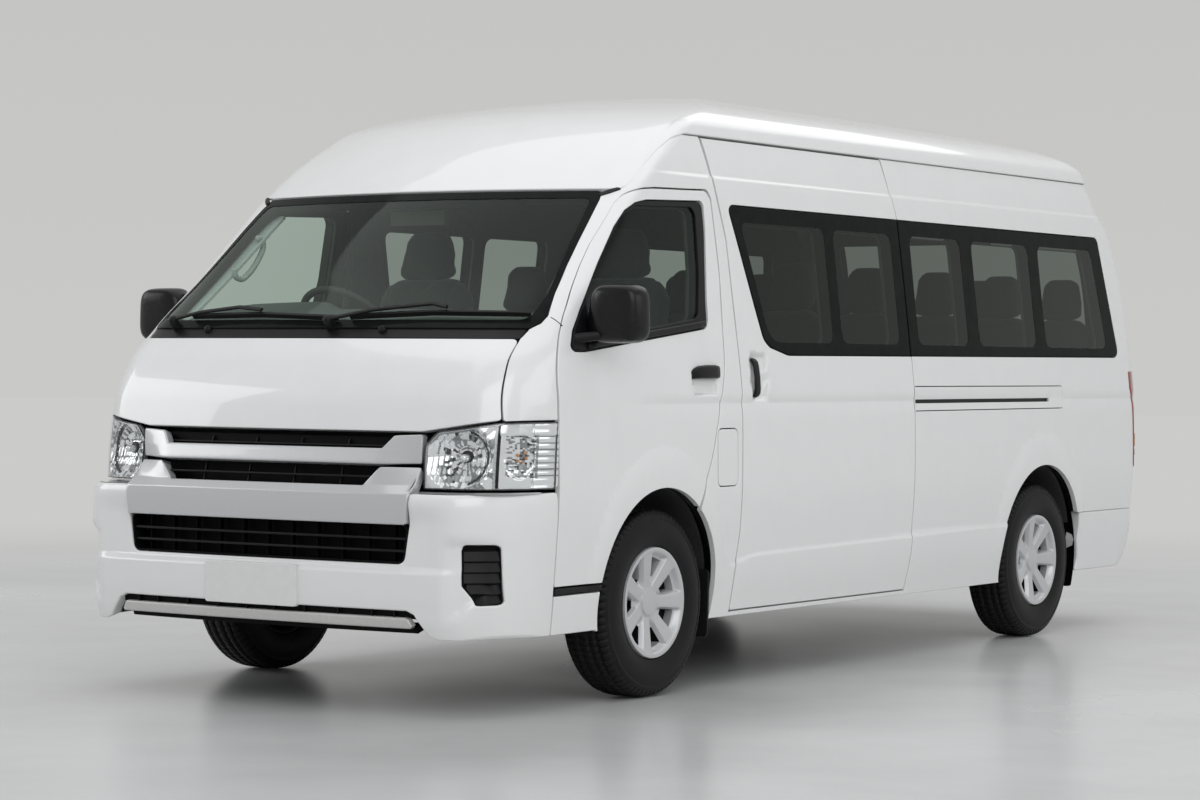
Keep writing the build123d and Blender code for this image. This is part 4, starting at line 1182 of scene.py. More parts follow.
def bowl_depth(u, v):
    """Stepped and fluted bowl."""
    middle = BOWL_U + np.floor((u - BOWL_U) / FLUTE + 0.5) * FLUTE
    across, rise = (middle - BOWL_U) / 0.116, (v - BOWL_Z) / 0.112
    tier = 1.0 + 0.05 * np.floor((v - BOWL_Z) / TIER)
    bulge = 26 * (u - middle) ** 2 + 0.006 * ((v - BOWL_Z) / TIER % 1 - 0.5) ** 2
    plane = 2 * 0.066 / 0.116 ** 2 * (middle - BOWL_U) * (u - middle) * 0.35
    bowl = np.clip(1 - across ** 2 - rise ** 2, 0, 1)
    return 0.010 + 0.066 * bowl * np.clip(tier, 0.9, 1.1) - (plane - bulge) * (bowl > 0)


def side_depth(u, v):
    """Grained drum of the indicator, with ribs beside it."""
    drum = np.sqrt(np.clip(1 - ((u - DRUM_U) / 0.050) ** 2 - ((v - DRUM_Z) / 0.072) ** 2, 0, 1))
    grain = 0.0016 * np.sin(u * 640) * np.sin(v * 520)
    ribs = 0.008 * np.abs((v / 0.023) % 1 - 0.5) * (u > 0.888)
    plain = 0.026 - 0.010 * (v > 0.935) + 0.008 * (np.abs(u - 0.882) < 0.005) - ribs
    return plain + np.where(drum > 0, 0.020 * drum + grain + 0.002, 0.0)


def scaled(loop):
    return np.array(dense(loop, 8)) / 1000


lamp_uv, bowl_uv, side_uv = scaled(LAMP), scaled(LAMP_BOWL), scaled(LAMP_SIDE)
housing = [panel("frame", body, [lamp_uv, bowl_uv, side_uv], BEZEL, 0.02, gap=0.0003, edge=0.001, depth=0.02,
                 lift=-0.006),
           panel("rim", body, [lamp_uv, inset(lamp_uv, 0.0050)], GLOOM, 0.02, gap=0.0004, edge=0.001,
                 depth=0.03, lift=-0.0035),
           panel("bowl", hollow(bowl_depth), [bowl_uv], CHROME, 0.0045, gap=-0.001, edge=0.001, depth=0.002),
           panel("side", hollow(side_depth), [side_uv], CHROME, 0.0045, gap=-0.001, edge=0.001, depth=0.002)]


def scatter(a, b):
    """Even spread of numbers from 0 to 1 over whole numbers a and b."""
    return np.abs(np.sin(a * 12.9898 + b * 78.233) * 43758.5453) % 1


def facets(obj, middle, rule):
    """Gives each face the material that rule picks from its place across and up from middle; the grey and
    dark faces on the chrome are painted reflections.
    """
    for mat in (SHADE, GLOOM):
        obj.data.materials.append(mat)
    at = np.array([p.center[:] for p in obj.data.polygons]) - middle
    across = at @ np.cross((0.0, 0.0, 1.0), -BACKWARDS)
    obj.data.polygons.foreach_set("material_index", rule(across, at[:, 2]).astype(int))


# Painted reflections on the bowl: grey and dark facets at random, grey tier edges, a dark arc and grey facets
# round the outside.
def bowl_rule(s, h):
    turn, r = np.arctan2(h, s), np.hypot(s, h * 0.95)
    sector, ringed = np.floor(turn / SECTOR), np.floor(r / RING_STEP)
    chance = scatter(sector, ringed)
    edge = np.abs(r / RING_STEP - ringed - 0.5) > 0.40
    index = np.where(chance < 0.26, 1, 0) + np.where((chance > 0.86) & (r < 0.085), 2, 0)
    index = np.where(edge & (scatter(sector, ringed + 9) < 0.55), 1, index)
    index = np.where((r > 0.079) & (r < 0.089) & (s > 0.02), 2, index)
    return np.where(r > 0.100, 1 * (scatter(sector, 3) < 0.3), index)


# Painted reflections and shade on the indicator: grey and dark specks on the drum, grey stripes over the ribs
# and a grey line at the drum's edge.
def side_rule(s, h):
    cell = scatter(np.floor(s / CELL), np.floor(h / CELL))
    drum = (np.abs(s) < 0.036) & (np.abs(h) < 0.070)
    reflected_specks = np.where(cell < 0.34, 1, 0) + np.where(cell > 0.88, 2, 0)
    ribs = np.where(((h / 0.022) % 1 < 0.22) & (np.abs(h) < 0.072), 1, 0)
    index = np.where(drum, reflected_specks, np.where(s > 0.036, ribs, 0))
    return np.where((np.abs(s - 0.039) < 0.003) & (np.abs(h) < 0.072), 1, index)


def lathe(name, profile, centre, axis, mat, count=40):
    """Surface turned about an axis: the profile is (radius, distance along the axis)."""
    axis = np.array(Vector(axis).normalized())
    one = np.array(Vector(axis).orthogonal().normalized())
    two = np.cross(axis, one)
    a = np.linspace(0, 2 * math.pi, count, endpoint=False)
    ringed = np.cos(a)[:, None] * one + np.sin(a)[:, None] * two
    points = np.stack([np.array(centre) + r * ringed + s * axis for r, s in profile])
    return sheet(name, points, mat, round_u=True)


CAP = [(0.0001, 0.0)] + [(0.013 * math.sin(a), 0.013 * (math.cos(a) - 1)) for a in np.linspace(0.2, 1.5, 8)]
seat_at = body(np.array([BOWL_U]), np.array([BOWL_Z]))[0]
bulb_at = seat_at + BACKWARDS * 0.034
housing += [lathe("cap", CAP + [(0.013, -0.045)], bulb_at, -BACKWARDS, CHROME),
            lathe("ring", [(0.012, -0.036), (0.021, -0.036), (0.024, -0.040), (0.024, -0.052)], bulb_at,
                  -BACKWARDS, BLACK),
            lathe("collar", [(0.030, -0.044), (0.033, -0.040), (0.036, -0.044)], bulb_at, -BACKWARDS,
                  SHADE, 32)]
# The reflectors' grey and dark faces are painted reflections.
facets(housing[2], seat_at, bowl_rule)
amber_at = body(np.array([DRUM_U]), np.array([DRUM_Z]))[0]
facets(housing[3], amber_at, side_rule)
GLOWS = [(-0.012, 0.006), (0.010, 0.014), (0.013, -0.004), (0.002, -0.018), (-0.014, -0.012)]
housing += [lathe("glow", [(r * 0.42, s * 0.4) for r, s in CAP] + [(0.005, -0.012)],
                  amber_at + BACKWARDS * 0.036 + np.array([dx * 0.6, dx, dz]), -BACKWARDS, AMBER, 16)
            for dx, dz in GLOWS]
lamps = joined("headlamp_left", housing)
lens = panel("lamp_lens_left", body, [lamp_uv], LENS, 0.02, gap=0.001, edge=0.003, depth=0.004)
both_sides(lamps, "body", "lamp_bowl", "headlamps")
both_sides(lens, "body", "lamp_clear", "headlamp_lenses")

# ---- Mirrors, belt strips, corner seals, handles --------------------------------------
def loft(name, rings, mat):
    """Skin over closed rings of equal count, closed at both ends."""
    rows, count = len(rings), len(rings[0])
    ends = [tuple(range(count))[::-1], tuple(range((rows - 1) * count, rows * count))]
    faces = grid_faces(rows, count) + ends
    return new_mesh(name, np.concatenate(rings), faces, mat)


def superellipse(wide, high, power, count=48):
    """Closed loop between an ellipse and a rectangle."""
    a = np.linspace(0, 2 * math.pi, count, endpoint=False)
    c, s = np.cos(a), np.sin(a)
    power = 2 / power
    return np.stack([wide * np.sign(c) * np.abs(c) ** power, high * np.sign(s) * np.abs(s) ** power], -1)


# Depth behind the front, half width, half height, middle in x and z.
HEAD = [(0.000, 0.030, 0.045, 1.022, 1.352), (0.0015, 0.052, 0.070, 1.023, 1.350),
        (0.006, 0.075, 0.088, 1.024, 1.349), (0.014, 0.086, 0.096, 1.024, 1.348),
        (0.026, 0.092, 0.101, 1.024, 1.347), (0.045, 0.096, 0.1035, 1.024, 1.347),
        (0.070, 0.0975, 0.105, 1.0245, 1.347), (0.090, 0.0975, 0.105, 1.0245, 1.347),
        (0.097, 0.095, 0.1025, 1.0245, 1.347), (0.098, 0.088, 0.096, 1.0245, 1.347),
        (0.094, 0.086, 0.094, 1.0245, 1.347)]


def head_wide(shape):
    """Widths of the head's outline, wider at the foot and more so on the side by the door."""
    rise = shape[:, 1] / 0.1
    return shape[:, 0] * np.where(shape[:, 0] < 0, 1.12 - 0.16 * rise, 1.04 - 0.03 * rise)


rings = []
for depth, wide, high, cx, cz in HEAD:
    shape = superellipse(wide, high * 0.96, 4.2)
    swept = AXLE_Y - 0.450 + depth + 0.10 * np.abs(shape[:, 0]) ** 1.5 * (depth < 0.06)
    rings.append(np.stack([cx - 0.008 + head_wide(shape), swept, cz - 0.003 + shape[:, 1]], -1))
head = loft("head", rings, SHELL)
face = superellipse(0.087, 0.095, 4.2)
glass_rings = [np.stack([1.0165 + head_wide(face) * k, np.full(48, AXLE_Y - 0.354 - 0.001 * k),
                         1.344 + face[:, 1] * 0.96 * k], -1) for k in (1.0, 0.02)]
mirror_face = loft("face", glass_rings, SILVERED)
arm_rings = []
for s in np.linspace(0, 1, 9):
    mid = np.array([0.893 + 0.085 * s, AXLE_Y - 0.500 + 0.085 * s, 1.256 + 0.016 * s])
    shape = superellipse(0.020 - 0.003 * s, 0.018 - 0.002 * s, 3, 20)
    arm_rings.append(mid + shape[:, :1] * np.array([0.7, -0.7, 0]) + shape[:, 1:] * np.array([0, 0, 1.0]))
arm = loft("arm", arm_rings, BLACK)
SAIL = [(-526, 1226), (-444, 1222), (-410, 1250), (-408, 1392), (-452, 1350), (-504, 1284)]
sail = panel("sail", body, [side(rounded(SAIL, 10))], BLACK, 0.02, gap=0, edge=0.004, depth=0.012,
             lift=0.0015)
mirror = joined("mirror_head_left", [head, mirror_face, arm, sail])


def bar_along(name, skin, uv, sizes, mat, count=24):
    """Rounded bar on a skin: sizes are (half width, height above the skin, depth into it)."""
    uv = np.array(uv, float)
    p, n = skin(uv[:, 0], uv[:, 1]), skin_normals(skin, uv)
    across = np.cross(n, unit(np.gradient(p, axis=0)))
    rings = []
    for k, (half, out, into) in enumerate(sizes):
        shape = superellipse(half, (out + into) / 2, 3.4, count)
        rings.append(p[k] + shape[:, :1] * across[k] + (shape[:, 1:] + (out - into) / 2) * n[k])
    return loft(name, rings, mat)


BELT = [(-430, 1234), (-300, 1249), (-100, 1271), (100, 1293), (330, 1319), (366, 1323)]
belt_line = flanking(BELT)[::3]
belt = bar_along("belt_strip_left", plain_side, belt_line, [(0.012, 0.010, 0.012)] * len(belt_line), BLACK)
both_sides(belt, "front_door_left", "black_trim")
SEAL = [(750, 1763), (758, 1761), (780, 1771), (802, 1784), (802, 1792), (790, 1794), (768, 1785),
        (750, 1775)]
seal = panel("corner_seal_left", body, [front(rounded(SEAL, 5))], RUBBER, 0.02, gap=0, edge=0.003,
             depth=0.012, lift=0.004)
both_sides(seal, "body", "black_trim")
corner_seam = rail("corner_seam_left", body, flanking([(-576, 1329), (-553, 1299)]),
                   bar_section(0.004, 0.006, 0.001, 0.0006), DARK)
both_sides(corner_seam, "body", "black_trim")
spots = [(222, 1134), (228, 1136), (245, 1141), (270, 1145), (320, 1147), (370, 1147), (398, 1146),
         (405, 1145), (408, 1144)]
handle = bar_along("door_pull_left", plain_side, place("side", spots),
                   [(half, out, 0.012) for half, out in (
                       (0.006, -0.004), (0.014, 0.006), (0.019, 0.017), (0.023, 0.0205), (0.0245, 0.0215),
                       (0.0245, 0.0205), (0.023, 0.016), (0.018, 0.008), (0.010, -0.002))], BLACK)
both_sides(mirror, "front_door_left", "mirror_black", "mirror_left")
both_sides(handle, "front_door_left", "black_trim", "door_handle_left")
spots = [(682, z) for z in (1054, 1058, 1068, 1085, 1128, 1170, 1186, 1196, 1200)]
PULL_END = [(0.008, -0.012, 0.022), (0.014, -0.004, 0.020), (0.018, 0.002, 0.012), (0.019, 0.0045, 0.006)]
pull = bar_along("slider_pull", plain_side, place("side", spots),
                 PULL_END + [(0.019, 0.0055, 0.002)] + PULL_END[::-1], BLACK)
finish_piece(pull, "body", "black_trim", "sliding_door_handle")

# ---- Wheels -------------------------------------------------------------------------
SPOKES = 7
WINDOW = (0.0960, 0.160)        # radii between which the cover is open
COVER_ROWS = [0.0002, 0.015, 0.030, 0.041, 0.0455, 0.0465, 0.0500, 0.0512, 0.0560, 0.066, 0.078, 0.086,
              0.0925, 0.0955, 0.0970, 0.108, 0.126, 0.142, 0.154, 0.1595, 0.161, 0.165, 0.171, 0.1755,
              0.179, 0.186, 0.191, 0.1945, 0.1965, 0.1975]
LIFT = pchip(*zip((0, 0.0745), (0.030, 0.0735), (0.0455, 0.0715), (0.0465, 0.0690), (0.0500, 0.0690),
                  (0.0512, 0.0665), (0.066, 0.0680), (0.100, 0.0745), (0.150, 0.0845), (0.1755, 0.0895),
                  (0.186, 0.0935), (0.1945, 0.0925), (0.1975, 0.0800)))


def cover_points():
    """Wheel cover as rings of points, out from its cap, about the x axis."""
    points = []
    for r in COVER_ROWS:
        flat = np.interp(r, [0.05, 0.178], [0.018, 0.028]) / max(r, 0.03)
        wall = 0.008 / max(r, 0.03)
        half = math.pi / SPOKES
        steps = np.array([0, 0.5, 0.93, 1.0])
        a = np.concatenate([steps * flat, flat + wall * np.array([0.12, 0.5, 0.88, 1.0]), [0, 0]])
        rest = half - flat - wall
        a[8], a[9] = flat + wall + rest * 0.10, half - rest * 0.45
        if rest <= 0.004:
            a = np.linspace(0, half, 11)[:10]
        a = np.concatenate([-a[:0:-1], a, [half]])
        fall = np.array([0, 0, 0.02, 0.06, 0.16, 0.5, 0.84, 0.95, 1.0, 1.0])
        fall = np.concatenate([fall[:0:-1], fall, [1.0]])
        depth = 0.019 * smooth(r, 0.058, 0.088) * (1 - smooth(r, 0.168, 0.178))
        hole = WINDOW[0] <= r <= WINDOW[1]
        level = LIFT(np.array([r]))[0] - depth * fall
        level = np.where((fall >= 1.0) & hole, level - 0.030, level)
        turn = np.concatenate([a + 2 * math.pi * k / SPOKES for k in range(SPOKES)])
        points.append(np.stack([np.tile(level, SPOKES), r * np.cos(turn), r * np.sin(turn)], -1))
    return np.stack(points)


def wheel_cover(name, hub, side_sign):
    """Cover of one wheel; its openings are set back and black, standing for the dark steel wheel behind them
    with painted shade on it.
    """
    points = cover_points()
    cols = points.shape[1]
    points[..., 0] *= side_sign
    obj = sheet(name, points + np.array(hub), COVER, round_u=True, flip=side_sign < 0)
    # Black faces in the openings: the dark wheel seen through them, darkened further as painted shade.
    obj.data.materials.append(DARK)
    per = cols // SPOKES
    index = []
    for i in range(len(COVER_ROWS) - 1):
        for j in range(cols):
            k, r = j % per, (COVER_ROWS[i] + COVER_ROWS[i + 1]) / 2
            index.append(int(WINDOW[0] < r < WINDOW[1] and (k < 2 or k >= per - 3)))
    obj.data.polygons.foreach_set("material_index", index)
    edges = obj.modifiers.new("edges", "EDGE_SPLIT")
    edges.split_angle = math.radians(48)
    return obj


# Sections as (radius, distance out from the wheel's middle); the tyre's is mirrored to its other half.
TREAD = [(0.197, 0.0780), (0.199, 0.0850), (0.204, 0.0895), (0.212, 0.0900), (0.216, 0.0915),
         (0.232, 0.0955), (0.252, 0.0972), (0.272, 0.0965), (0.290, 0.0935), (0.2955, 0.0922),
         (0.2965, 0.0935), (0.3000, 0.0925), (0.3080, 0.0895), (0.3090, 0.0885), (0.3165, 0.0860),
         (0.3225, 0.0820), (0.3275, 0.0745), (0.3305, 0.0650), (0.3320, 0.0575), (0.3250, 0.0560),
         (0.3250, 0.0500), (0.3328, 0.0485), (0.3335, 0.0250), (0.3260, 0.0235), (0.3260, 0.0165),
         (0.3338, 0.0150), (0.3339, 0.0)]
RIM = [(0.150, -0.02), (0.165, 0.030), (0.176, 0.066), (0.184, 0.0700), (0.196, 0.0760), (0.2010, 0.0830),
       (0.2015, 0.0780), (0.1990, 0.0700), (0.187, 0.050), (0.178, 0.0), (0.187, -0.06), (0.200, -0.080),
       (0.196, -0.083), (0.180, -0.065), (0.165, 0.0), (0.160, 0.010), (0.120, 0.024), (0.060, 0.012),
       (0.0005, 0.010)]


def tyre_mesh(name, hub, side_sign):
    """Tyre with its tread blocks."""
    profile = TREAD + [(r, -a) for r, a in TREAD[-2::-1]]
    blocks = 76
    turn, cut = [], []
    for k in range(blocks):
        for share, low in ((0.0, 1), (0.14, 1), (0.17, 0), (0.58, 0), (0.97, 0)):
            turn.append((k + share) * 2 * math.pi / blocks)
            cut.append(low)
    turn, cut = np.array(turn), np.array(cut)
    points = []
    for r, a in profile:
        skew = 0.012 * np.clip(abs(a) / 0.08, 0, 1)
        t = turn + skew * (1 if a > 0 else -1)
        deep = 0.0055 * smooth(r, 0.309, 0.3175) * (abs(a) > 0.049) + 0.003 * (r > 0.333) * (abs(a) < 0.049)
        rr = r - deep * cut
        points.append(np.stack([np.full_like(t, a * side_sign), rr * np.cos(t), rr * np.sin(t)], -1))
    return sheet(name, np.stack(points) + np.array(hub), TYRE, round_u=True, flip=side_sign > 0)


for label, x, d in (("front", 0.8275, 0.0), ("rear", 0.825, WHEELBASE)):
    for sign, which in ((1, "left"), (-1, "right")):
        hub = (sign * x, d + AXLE_Y, HUB_Z)
        body_name = "wheel_%s_%s" % (label, which)
        finish_piece(wheel_cover("cover_%s_%s" % (label, which), hub, sign), body_name, "wheel_silver")
        finish_piece(tyre_mesh("tread_%s_%s" % (label, which), hub, sign), body_name, "tyre_black",
                     "tyre_%s_%s" % (label, which))
        rim = lathe("rim_%s_%s" % (label, which), RIM, hub, (sign, 0, 0), STEEL, 64)
        finish_piece(rim, body_name, "wheel_silver", "wheel_%s_%s" % (label, which))


# ---- Wipers and nozzles ---------------------------------------------------------------
def on_glass(points, count=30):
    """Even places along a line on the front, in mm."""
    points = np.array(points, float)
    run = np.concatenate([[0], np.cumsum(np.linalg.norm(np.diff(points, axis=0), axis=1))])
    s = np.linspace(0, run[-1], count)
    return place("front", np.stack([np.interp(s, run, points[:, k]) for k in (0, 1)], -1))


WIPERS = [(((-610, 1321), (-250, 1326), (100, 1314)),
           ((-684, 1297), (-560, 1322), (-370, 1340), (-250, 1330))),
          (((150, 1318), (470, 1332), (812, 1328)),
           ((78, 1297), (250, 1330), (460, 1350), (520, 1338)))]
BOSS = [(0.0005, 0.042), (0.012, 0.041), (0.016, 0.037), (0.018, 0.025), (0.019, -0.01)]
NOZZLE = [(0.0005, 0.012), (0.008, 0.011), (0.013, 0.006), (0.016, -0.004), (0.016, -0.01)]


def stud(name, profile, at, count):
    """Turned piece that stands on the body's front, at a place in mm."""
    foot = place("front", [at])
    return lathe(name, profile, body(foot[:, 0], foot[:, 1])[0], skin_normals(body, foot)[0], BLACK, count)


wiper = []
for blade, arm in WIPERS:
    wiper += [rail("blade", body, on_glass(blade), bar_section(0.007, 0.017, 0.002, 0.020), RUBBER),
              rail("spine", body, on_glass(blade), bar_section(0.011, 0.004, 0.0015, 0.024), BLACK),
              rail("arm", body, on_glass(arm), bar_section(0.015, 0.009, 0.003, 0.036), BLACK),
              stud("boss", BOSS, arm[0], 24)]
wiper += [stud("nozzle", NOZZLE, (x, 1287), 20) for x in (-500, 300)]
finish_piece(joined("wiper_set", wiper), "body", "black_trim", "wipers")

# ---- Tail ---------------------------------------------------------------------------
gate_loop = rear(rounded(both([(755, 538), (755, 2003)]), [12, 26, 26, 12]))
gate_pane = rear(rounded(both([(674, 1213), (642, 1812)]), [46, 60, 60, 46]))
gate_light = rear(rounded(both([(654, 1240), (624, 1786)]), [40, 52, 52, 40]))
gate = panel("tailgate_skin", tail, [gate_loop, gate_pane], PAINT, 0.026, gap=0.002,
             rows=[(1.0, 1.05, 0.008)])
finish_piece(gate, "tailgate", "body_paint", "tailgate")
gate_border = panel("tailgate_border", tail, [gate_pane, gate_light], GLOSSBLACK, 0.03, gap=0.001, edge=0.002,
                    depth=0.04)
finish_piece(gate_border, "tailgate", "dark_glass")
gate_glass = panel("tailgate_window", tail, [shrunk(gate_light, -0.004)], TINT, 0.06, lift=-0.0016, **THIN)
finish_piece(gate_glass, "tailgate", "dark_glass", "tailgate_glass")
pull_uv = place("rear", [(s, 1010) for s in np.linspace(-250, 250, 40)])
pull_bar = rail("tailgate_pull", tail, pull_uv, bar_section(0.050, 0.012, 0.006, 0.022), PAINT)
finish_piece(pull_bar, "tailgate", "body_paint")


def rear_plate_skin(u, v):
    """Plane of the rear plate."""
    return np.stack([-u, np.full_like(u, 4.2505 + AXLE_Y), v], -1)


back_plate = panel("rear_plate_blank", rear_plate_skin,
                   [straight(rounded([(-180, 800), (180, 800), (180, 940), (-180, 940)], 12))], PLATE, 0.03,
                   gap=0, edge=0.003, depth=0.008)
finish_piece(back_plate, "tailgate", "plate_white", "rear_plate")
TAIL_LAMP = [(769, 712), (933, 712), (933, 1160), (769, 1160)]
glow = panel("tail_lamp_left", tail, [rear(rounded(TAIL_LAMP, 24))], RED,
             0.02, gap=0, edge=0.006, depth=0.012, lift=0.0035, segments=5)
bands = [glow]
for low, high, mat in ((772, 800, STRIP), (812, 872, AMBER)):
    strip = rounded([(778, low), (925, low), (925, high), (778, high)], 6)
    bands.append(panel("band", tail, [rear(strip)], mat,
                       0.02, gap=0, edge=0.002, depth=0.002, lift=0.0058))
tail_lamp = joined("tail_lamp_left", bands)
twin = mirrored(tail_lamp, "tail_lamp_right")
finish_piece(tail_lamp, "body", "lamp_red", "tail_lamps")
finish_piece(twin, "body", "lamp_red")
end_u = place("side", [(782, z) for z in (262, 400, 521)], TAIL_AT)[:, 0]
rear_loop = [(-end_u[0], 0.262), (end_u[0], 0.262), (end_u[1], 0.400), (end_u[2], 0.521), (-end_u[2], 0.521),
             (-end_u[1], 0.400)]
rear_loop = np.array(dense([(a * 1000, b * 1000) for a, b in rear_loop])) / 1000
rear_bumper = panel("rear_bumper_skin", tail_apron, [rear_loop], PAINT, 0.022, gap=0.002, edge=0.008,
                    depth=0.05, segments=6)
finish_piece(rear_bumper, "body", "bumper_paint", "rear_bumper")

# ---- Wheelhouses and linings ---------------------------------------------------------
arches = []
for (d, z, r), first, last, inner in ((FRONT_ARCH, 168, -14, 0.48), (REAR_ARCH, 196, -24, 0.60)):
    a = np.radians(np.linspace(first, last, 60))
    middle_y, middle_z = AXLE_Y + d / 1000, z / 1000
    rows = []
    for x, grow in ((0.905, 0.006), (0.89, 0.016), (0.86, 0.020), (inner + 0.02, 0.020), (inner, -0.05),
                    (inner, -0.20)):
        reach = r / 1000 + grow
        rows.append(np.stack([np.full_like(a, x), middle_y + reach * np.cos(a),
                              middle_z + reach * np.sin(a)], -1))
    arches.append(sheet("arch", np.stack(rows), DARK))
house = joined("wheelhouse_left", arches)
both_sides(house, "body", "black_trim")

LINE = dict(step=0.07, gap=0, edge=0.003, depth=0.010, lift=-0.047)
side_lining = panel("side_lining_left", body,
                    [side([(505, 580), (2690, 580), (2690, 806), (3572, 806), (3572, 580), (4060, 580),
                           (4105, 1215), (4070, 1500), (4010, 1760), (3900, 1965), (430, 1965), (497, 1500)])]
                    + light_loops(LIGHTS["front"] + LIGHTS["rear"]), LINER, **LINE)
both_sides(side_lining, "body", "cabin_plastic")
door_lining = panel("door_lining_left", body,
                    [side([(-600, 760), (-600, 1240), (-380, 1490), (-172, 1704), (-92, 1740), (0, 1762),
                           (434, 1768), (452, 1505), (428, 1158), (330, 880), (300, 760)]), pane_light],
                    CABIN, **LINE)
both_sides(door_lining, "front_door_left", "cabin_plastic")
gate_lining = panel("tailgate_lining", tail, [rear(both([(730, 570), (720, 1960)])), gate_light],
                    LINER, **LINE)
finish_piece(gate_lining, "tailgate", "cabin_plastic")


def lined_roof():
    """Headlining under the raised roof."""
    u = round_the_body()
    u[u == 0] = 1e-6
    low, rows = roof_low(u) - 0.012, []
    for s in np.linspace(0, 1, 26):
        uv = np.stack([u, low + (TOP - 0.3 - low) * s], -1)
        rows.append(body(uv[:, 0], uv[:, 1]) - 0.046 * skin_normals(body, uv))
    middle = rows[-1].mean(0)
    rows += [rows[-1] * (1 - k) + middle * k for k in (0.3, 0.65, 0.98)]
    return sheet("headlining", np.stack(rows), LINER, round_u=True, flip=True)


finish_piece(lined_roof(), "body", "cabin_plastic")

PILLAR = [(765, 1310), (750, 1409), (725, 1507), (706, 1593), (692, 1666), (676, 1760)]
PILLAR_BACK = [(-75, 1760), (-150, 1690), (-320, 1500), (-480, 1330), (-560, 1262)]


def pillar_trim(name, grow):
    """Left trim beside the windscreen, its inner edge moved out by grow."""
    loop = np.concatenate([frontal([(x + grow, z) for x, z in PILLAR]), flanking(PILLAR_BACK)])
    return panel(name, body, [loop], PALETRIM, 0.05, gap=0, edge=0.004, depth=0.008, lift=-0.050)


only_right(pillar_trim("pillar_form", 0), "pillar_trim_right", "body", "cabin_plastic")
finish_piece(pillar_trim("pillar_trim_left", 34), "body", "cabin_plastic")

# Dashboard's soft top with the hood over the instruments.
across = np.linspace(-0.80, 0.80, 49)
DASH = [(-0.655, 1.262), (-0.640, 1.300), (-0.600, 1.330), (-0.520, 1.352), (-0.450, 1.362), (-0.415, 1.360),
        (-0.398, 1.348), (-0.392, 1.325), (-0.392, 1.270)]
hood = smooth(across, -0.66, -0.56) * (1 - smooth(across, -0.26, -0.14))
bend = (across / 0.8) ** 2
dash_rows = []
for k, (d, z) in enumerate(DASH):
    rise = 0.030 * hood * (2 <= k <= 7)
    dash_rows.append(np.stack([across, AXLE_Y + d + 0.035 * hood * (k >= 4) - 0.10 * (1 - bend) * (k < 3),
                               z + rise - 0.020 * bend], -1))
dash_top = sheet("dash_top", np.stack(dash_rows), DASHTOP)
finish_piece(dash_top, "body", "cabin_plastic")


def flap_skin(u, v):
    """Plane of the front mudflaps."""
    return np.stack([u, AXLE_Y + 0.376 + 0.03 * (v - 0.2), v], -1)


for sign, which in ((1, "left"), (-1, "right")):
    outline = rounded([(sign * 640, 186), (sign * 906, 186), (sign * 906, 430), (sign * 640, 430)], 18)
    flap_piece = panel("flap_front_" + which, flap_skin, [straight(outline)], RUBBER, 0.04, gap=0,
                       edge=0.002, depth=0.006)
    finish_piece(flap_piece, "body", "black_trim")
GRIP = [(-0.37, 1.515), (-0.365, 1.487), (-0.330, 1.476), (-0.285, 1.500), (-0.235, 1.550), (-0.205, 1.600),
        (-0.212, 1.630), (-0.240, 1.632)]


def tube(name, path, radius, mat, count=12):
    """Round bar along points in space."""
    along = unit(np.gradient(path, axis=0))
    one = unit(np.cross(along, (1.0, 0.0, 0.0)))
    two = np.cross(along, one)
    a = np.linspace(0, 2 * math.pi, count, endpoint=False)
    return loft(name, [p + radius * (np.cos(a)[:, None] * o + np.sin(a)[:, None] * w)
                       for p, o, w in zip(path, one, two)], mat)


run_d = pchip(range(8), [p[0] for p in GRIP])(np.linspace(0, 7, 29))
run_z = pchip(range(8), [p[1] for p in GRIP])(np.linspace(0, 7, 29))
grip = tube("grab_handle", np.stack([np.full(29, -0.700), AXLE_Y + run_d, run_z], -1), 0.011, PALETRIM)
finish_piece(grip, "body", "cabin_plastic")

# ---- Seats --------------------------------------------------------------------------
# Side outlines of the pads from the cushion's front foot, in mm: (distance behind it, height).
CUSHION = [(6, 4), (4, 84), (26, 108), (418, 92), (462, 4)]
TALL_BACK = [(436, 108), (520, 732), (588, 742), (600, 722), (524, 66), (486, 8), (474, 8)]
LOW_BACK = [(436, 108), (511, 636), (579, 644), (591, 626), (524, 66), (486, 8), (474, 8)]
HEAD_PAD = [(514, 694), (524, 850), (556, 890), (608, 882), (617, 812), (596, 704)]
FINE_VOXEL = 0.0115         # pads built finer than this are also subdivided
THREE = [(-850, -440), (-430, -20), (430, 840)]
FOUR = [(-850, -440), (-420, -10), (10, 420), (440, 850)]
ROWS = [(880, THREE), (1500, THREE), (2120, THREE), (2740, THREE), (3350, FOUR)]


